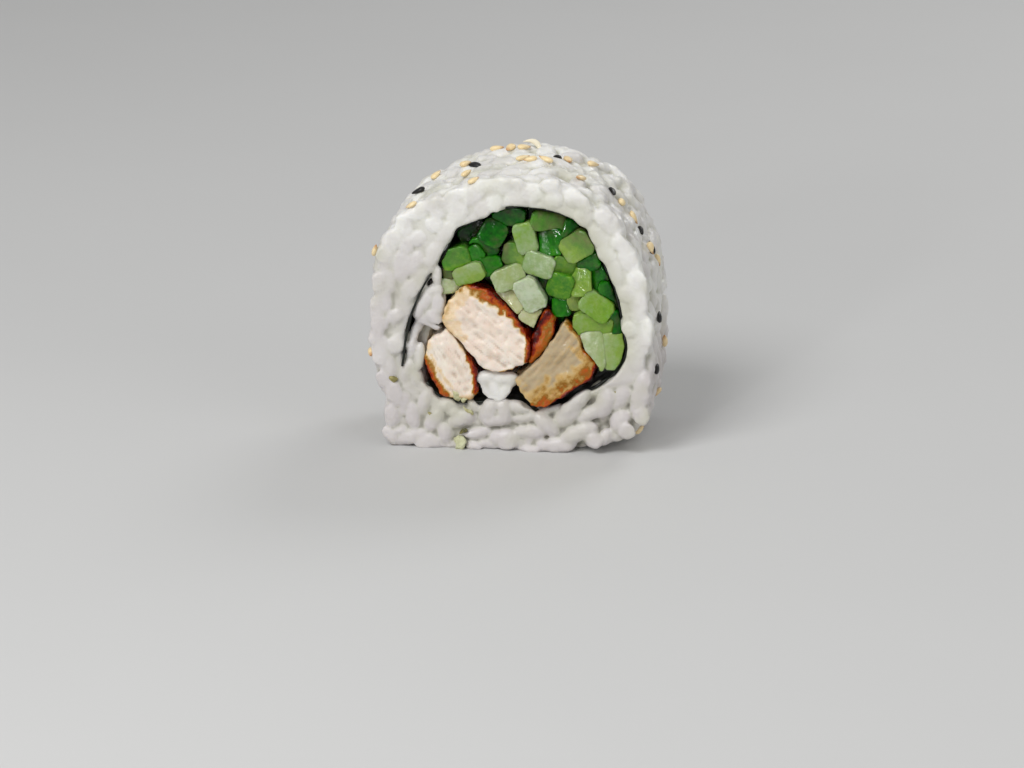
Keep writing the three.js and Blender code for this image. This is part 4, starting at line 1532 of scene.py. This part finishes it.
class ROLL_OT_rice(bpy.types.Operator):
    """Build the sticky rice and the small clump between the pieces of chicken"""

    bl_idname = "roll.rice"
    bl_label = "Rice"

    def execute(self, context):
        settings = context.scene.roll_rice
        material = rice_material(settings)
        finish_piece(build_rice(settings), material, ["rice"])
        finish_piece(build_lump(settings), material, ["rice_lump"])
        return {"FINISHED"}


class ROLL_OT_sesame(bpy.types.Operator):
    """Scatter golden and black sesame over the rice, which has to be there"""

    bl_idname = "roll.sesame"
    bl_label = "Sesame"

    def execute(self, context):
        settings = context.scene.roll_sesame
        rice = context.scene.objects["rice_mass"]
        surface = BVHTree.FromObject(rice, context.evaluated_depsgraph_get())
        random = np.random.default_rng(HIDDEN_DRAWS)
        seen = GOLDEN_SEEDS + BLACK_SEEDS
        golden = other_pairs(settings.hidden_golden, seen, random)
        black = other_pairs(settings.hidden_black, seen + golden, random)
        kinds = (
            ("golden", GOLDEN_SEEDS + golden, settings.golden, settings.golden_tip),
            ("black", BLACK_SEEDS + black, settings.black, settings.black),
        )
        for i, (kind, pairs, coat, tip) in enumerate(kinds):
            piece = build_seeds(f"sesame_{kind}", pairs, settings, surface, SEED_DRAWS + i)
            finish_piece(piece, seed_material(f"sesame {kind}", coat, tip))
        husk = seed_material("sesame husk", settings.husk, settings.husk)
        finish_piece(build_husk(), husk)
        return {"FINISHED"}


class ROLL_OT_nori(bpy.types.Operator):
    """Build the nori between the rice and the fillings"""

    bl_idname = "roll.nori"
    bl_label = "Nori"

    def execute(self, context):
        settings = context.scene.roll_nori
        finish_piece(build_nori(settings), nori_material(settings), ["nori"])
        return {"FINISHED"}


class ROLL_OT_cucumber(bpy.types.Operator):
    """Build the cucumber sticks"""

    bl_idname = "roll.cucumber"
    bl_label = "Cucumber"

    def execute(self, context):
        settings = context.scene.roll_cucumber
        material = cucumber_material(settings)
        for stick in range(1, STICK_COUNT + 1):
            piece, node = build_stick(stick, settings)
            finish_piece(piece, material, [node])
        return {"FINISHED"}


class ROLL_OT_scraps(bpy.types.Operator):
    """Press a few scraps of cucumber into the rice"""

    bl_idname = "roll.scraps"
    bl_label = "Scraps"

    def execute(self, context):
        finish_piece(build_scraps(), scrap_material(context.scene.roll_cucumber))
        return {"FINISHED"}


class ROLL_OT_chicken(bpy.types.Operator):
    """Build the glazed pieces of chicken"""

    bl_idname = "roll.chicken"
    bl_label = "Chicken"

    def execute(self, context):
        settings = context.scene.roll_chicken
        material = chicken_material(settings)
        for name in BROWNING:
            finish_piece(build_chicken(name, settings), material, [name])
        return {"FINISHED"}


class ROLL_PT_panel(bpy.types.Panel):
    """Lists the pieces of the roll"""

    bl_label = "Inside-out roll"
    bl_idname = "ROLL_PT_panel"
    bl_space_type = "VIEW_3D"
    bl_region_type = "UI"
    bl_category = "Sushi"

    def draw(self, context):
        for operator in OPERATORS:
            self.layout.operator(operator.bl_idname)


OPERATORS = (
    ROLL_OT_stage,
    ROLL_OT_rice,
    ROLL_OT_sesame,
    ROLL_OT_nori,
    ROLL_OT_cucumber,
    ROLL_OT_scraps,
    ROLL_OT_chicken,
)
CLASSES = (*SETTINGS.values(), *OPERATORS, ROLL_PT_panel)


def register():
    for cls in CLASSES:
        bpy.utils.register_class(cls)
    for name, group in SETTINGS.items():
        setattr(bpy.types.Scene, name, PointerProperty(type=group))


def unregister():
    for name in SETTINGS:
        delattr(bpy.types.Scene, name)
    for cls in reversed(CLASSES):
        bpy.utils.unregister_class(cls)


def main():
    register()
    bpy.ops.roll.stage()
    bpy.ops.roll.rice()
    bpy.ops.roll.sesame()
    bpy.ops.roll.nori()
    bpy.ops.roll.cucumber()
    bpy.ops.roll.scraps()
    bpy.ops.roll.chicken()


if __name__ == "__main__":
    main()
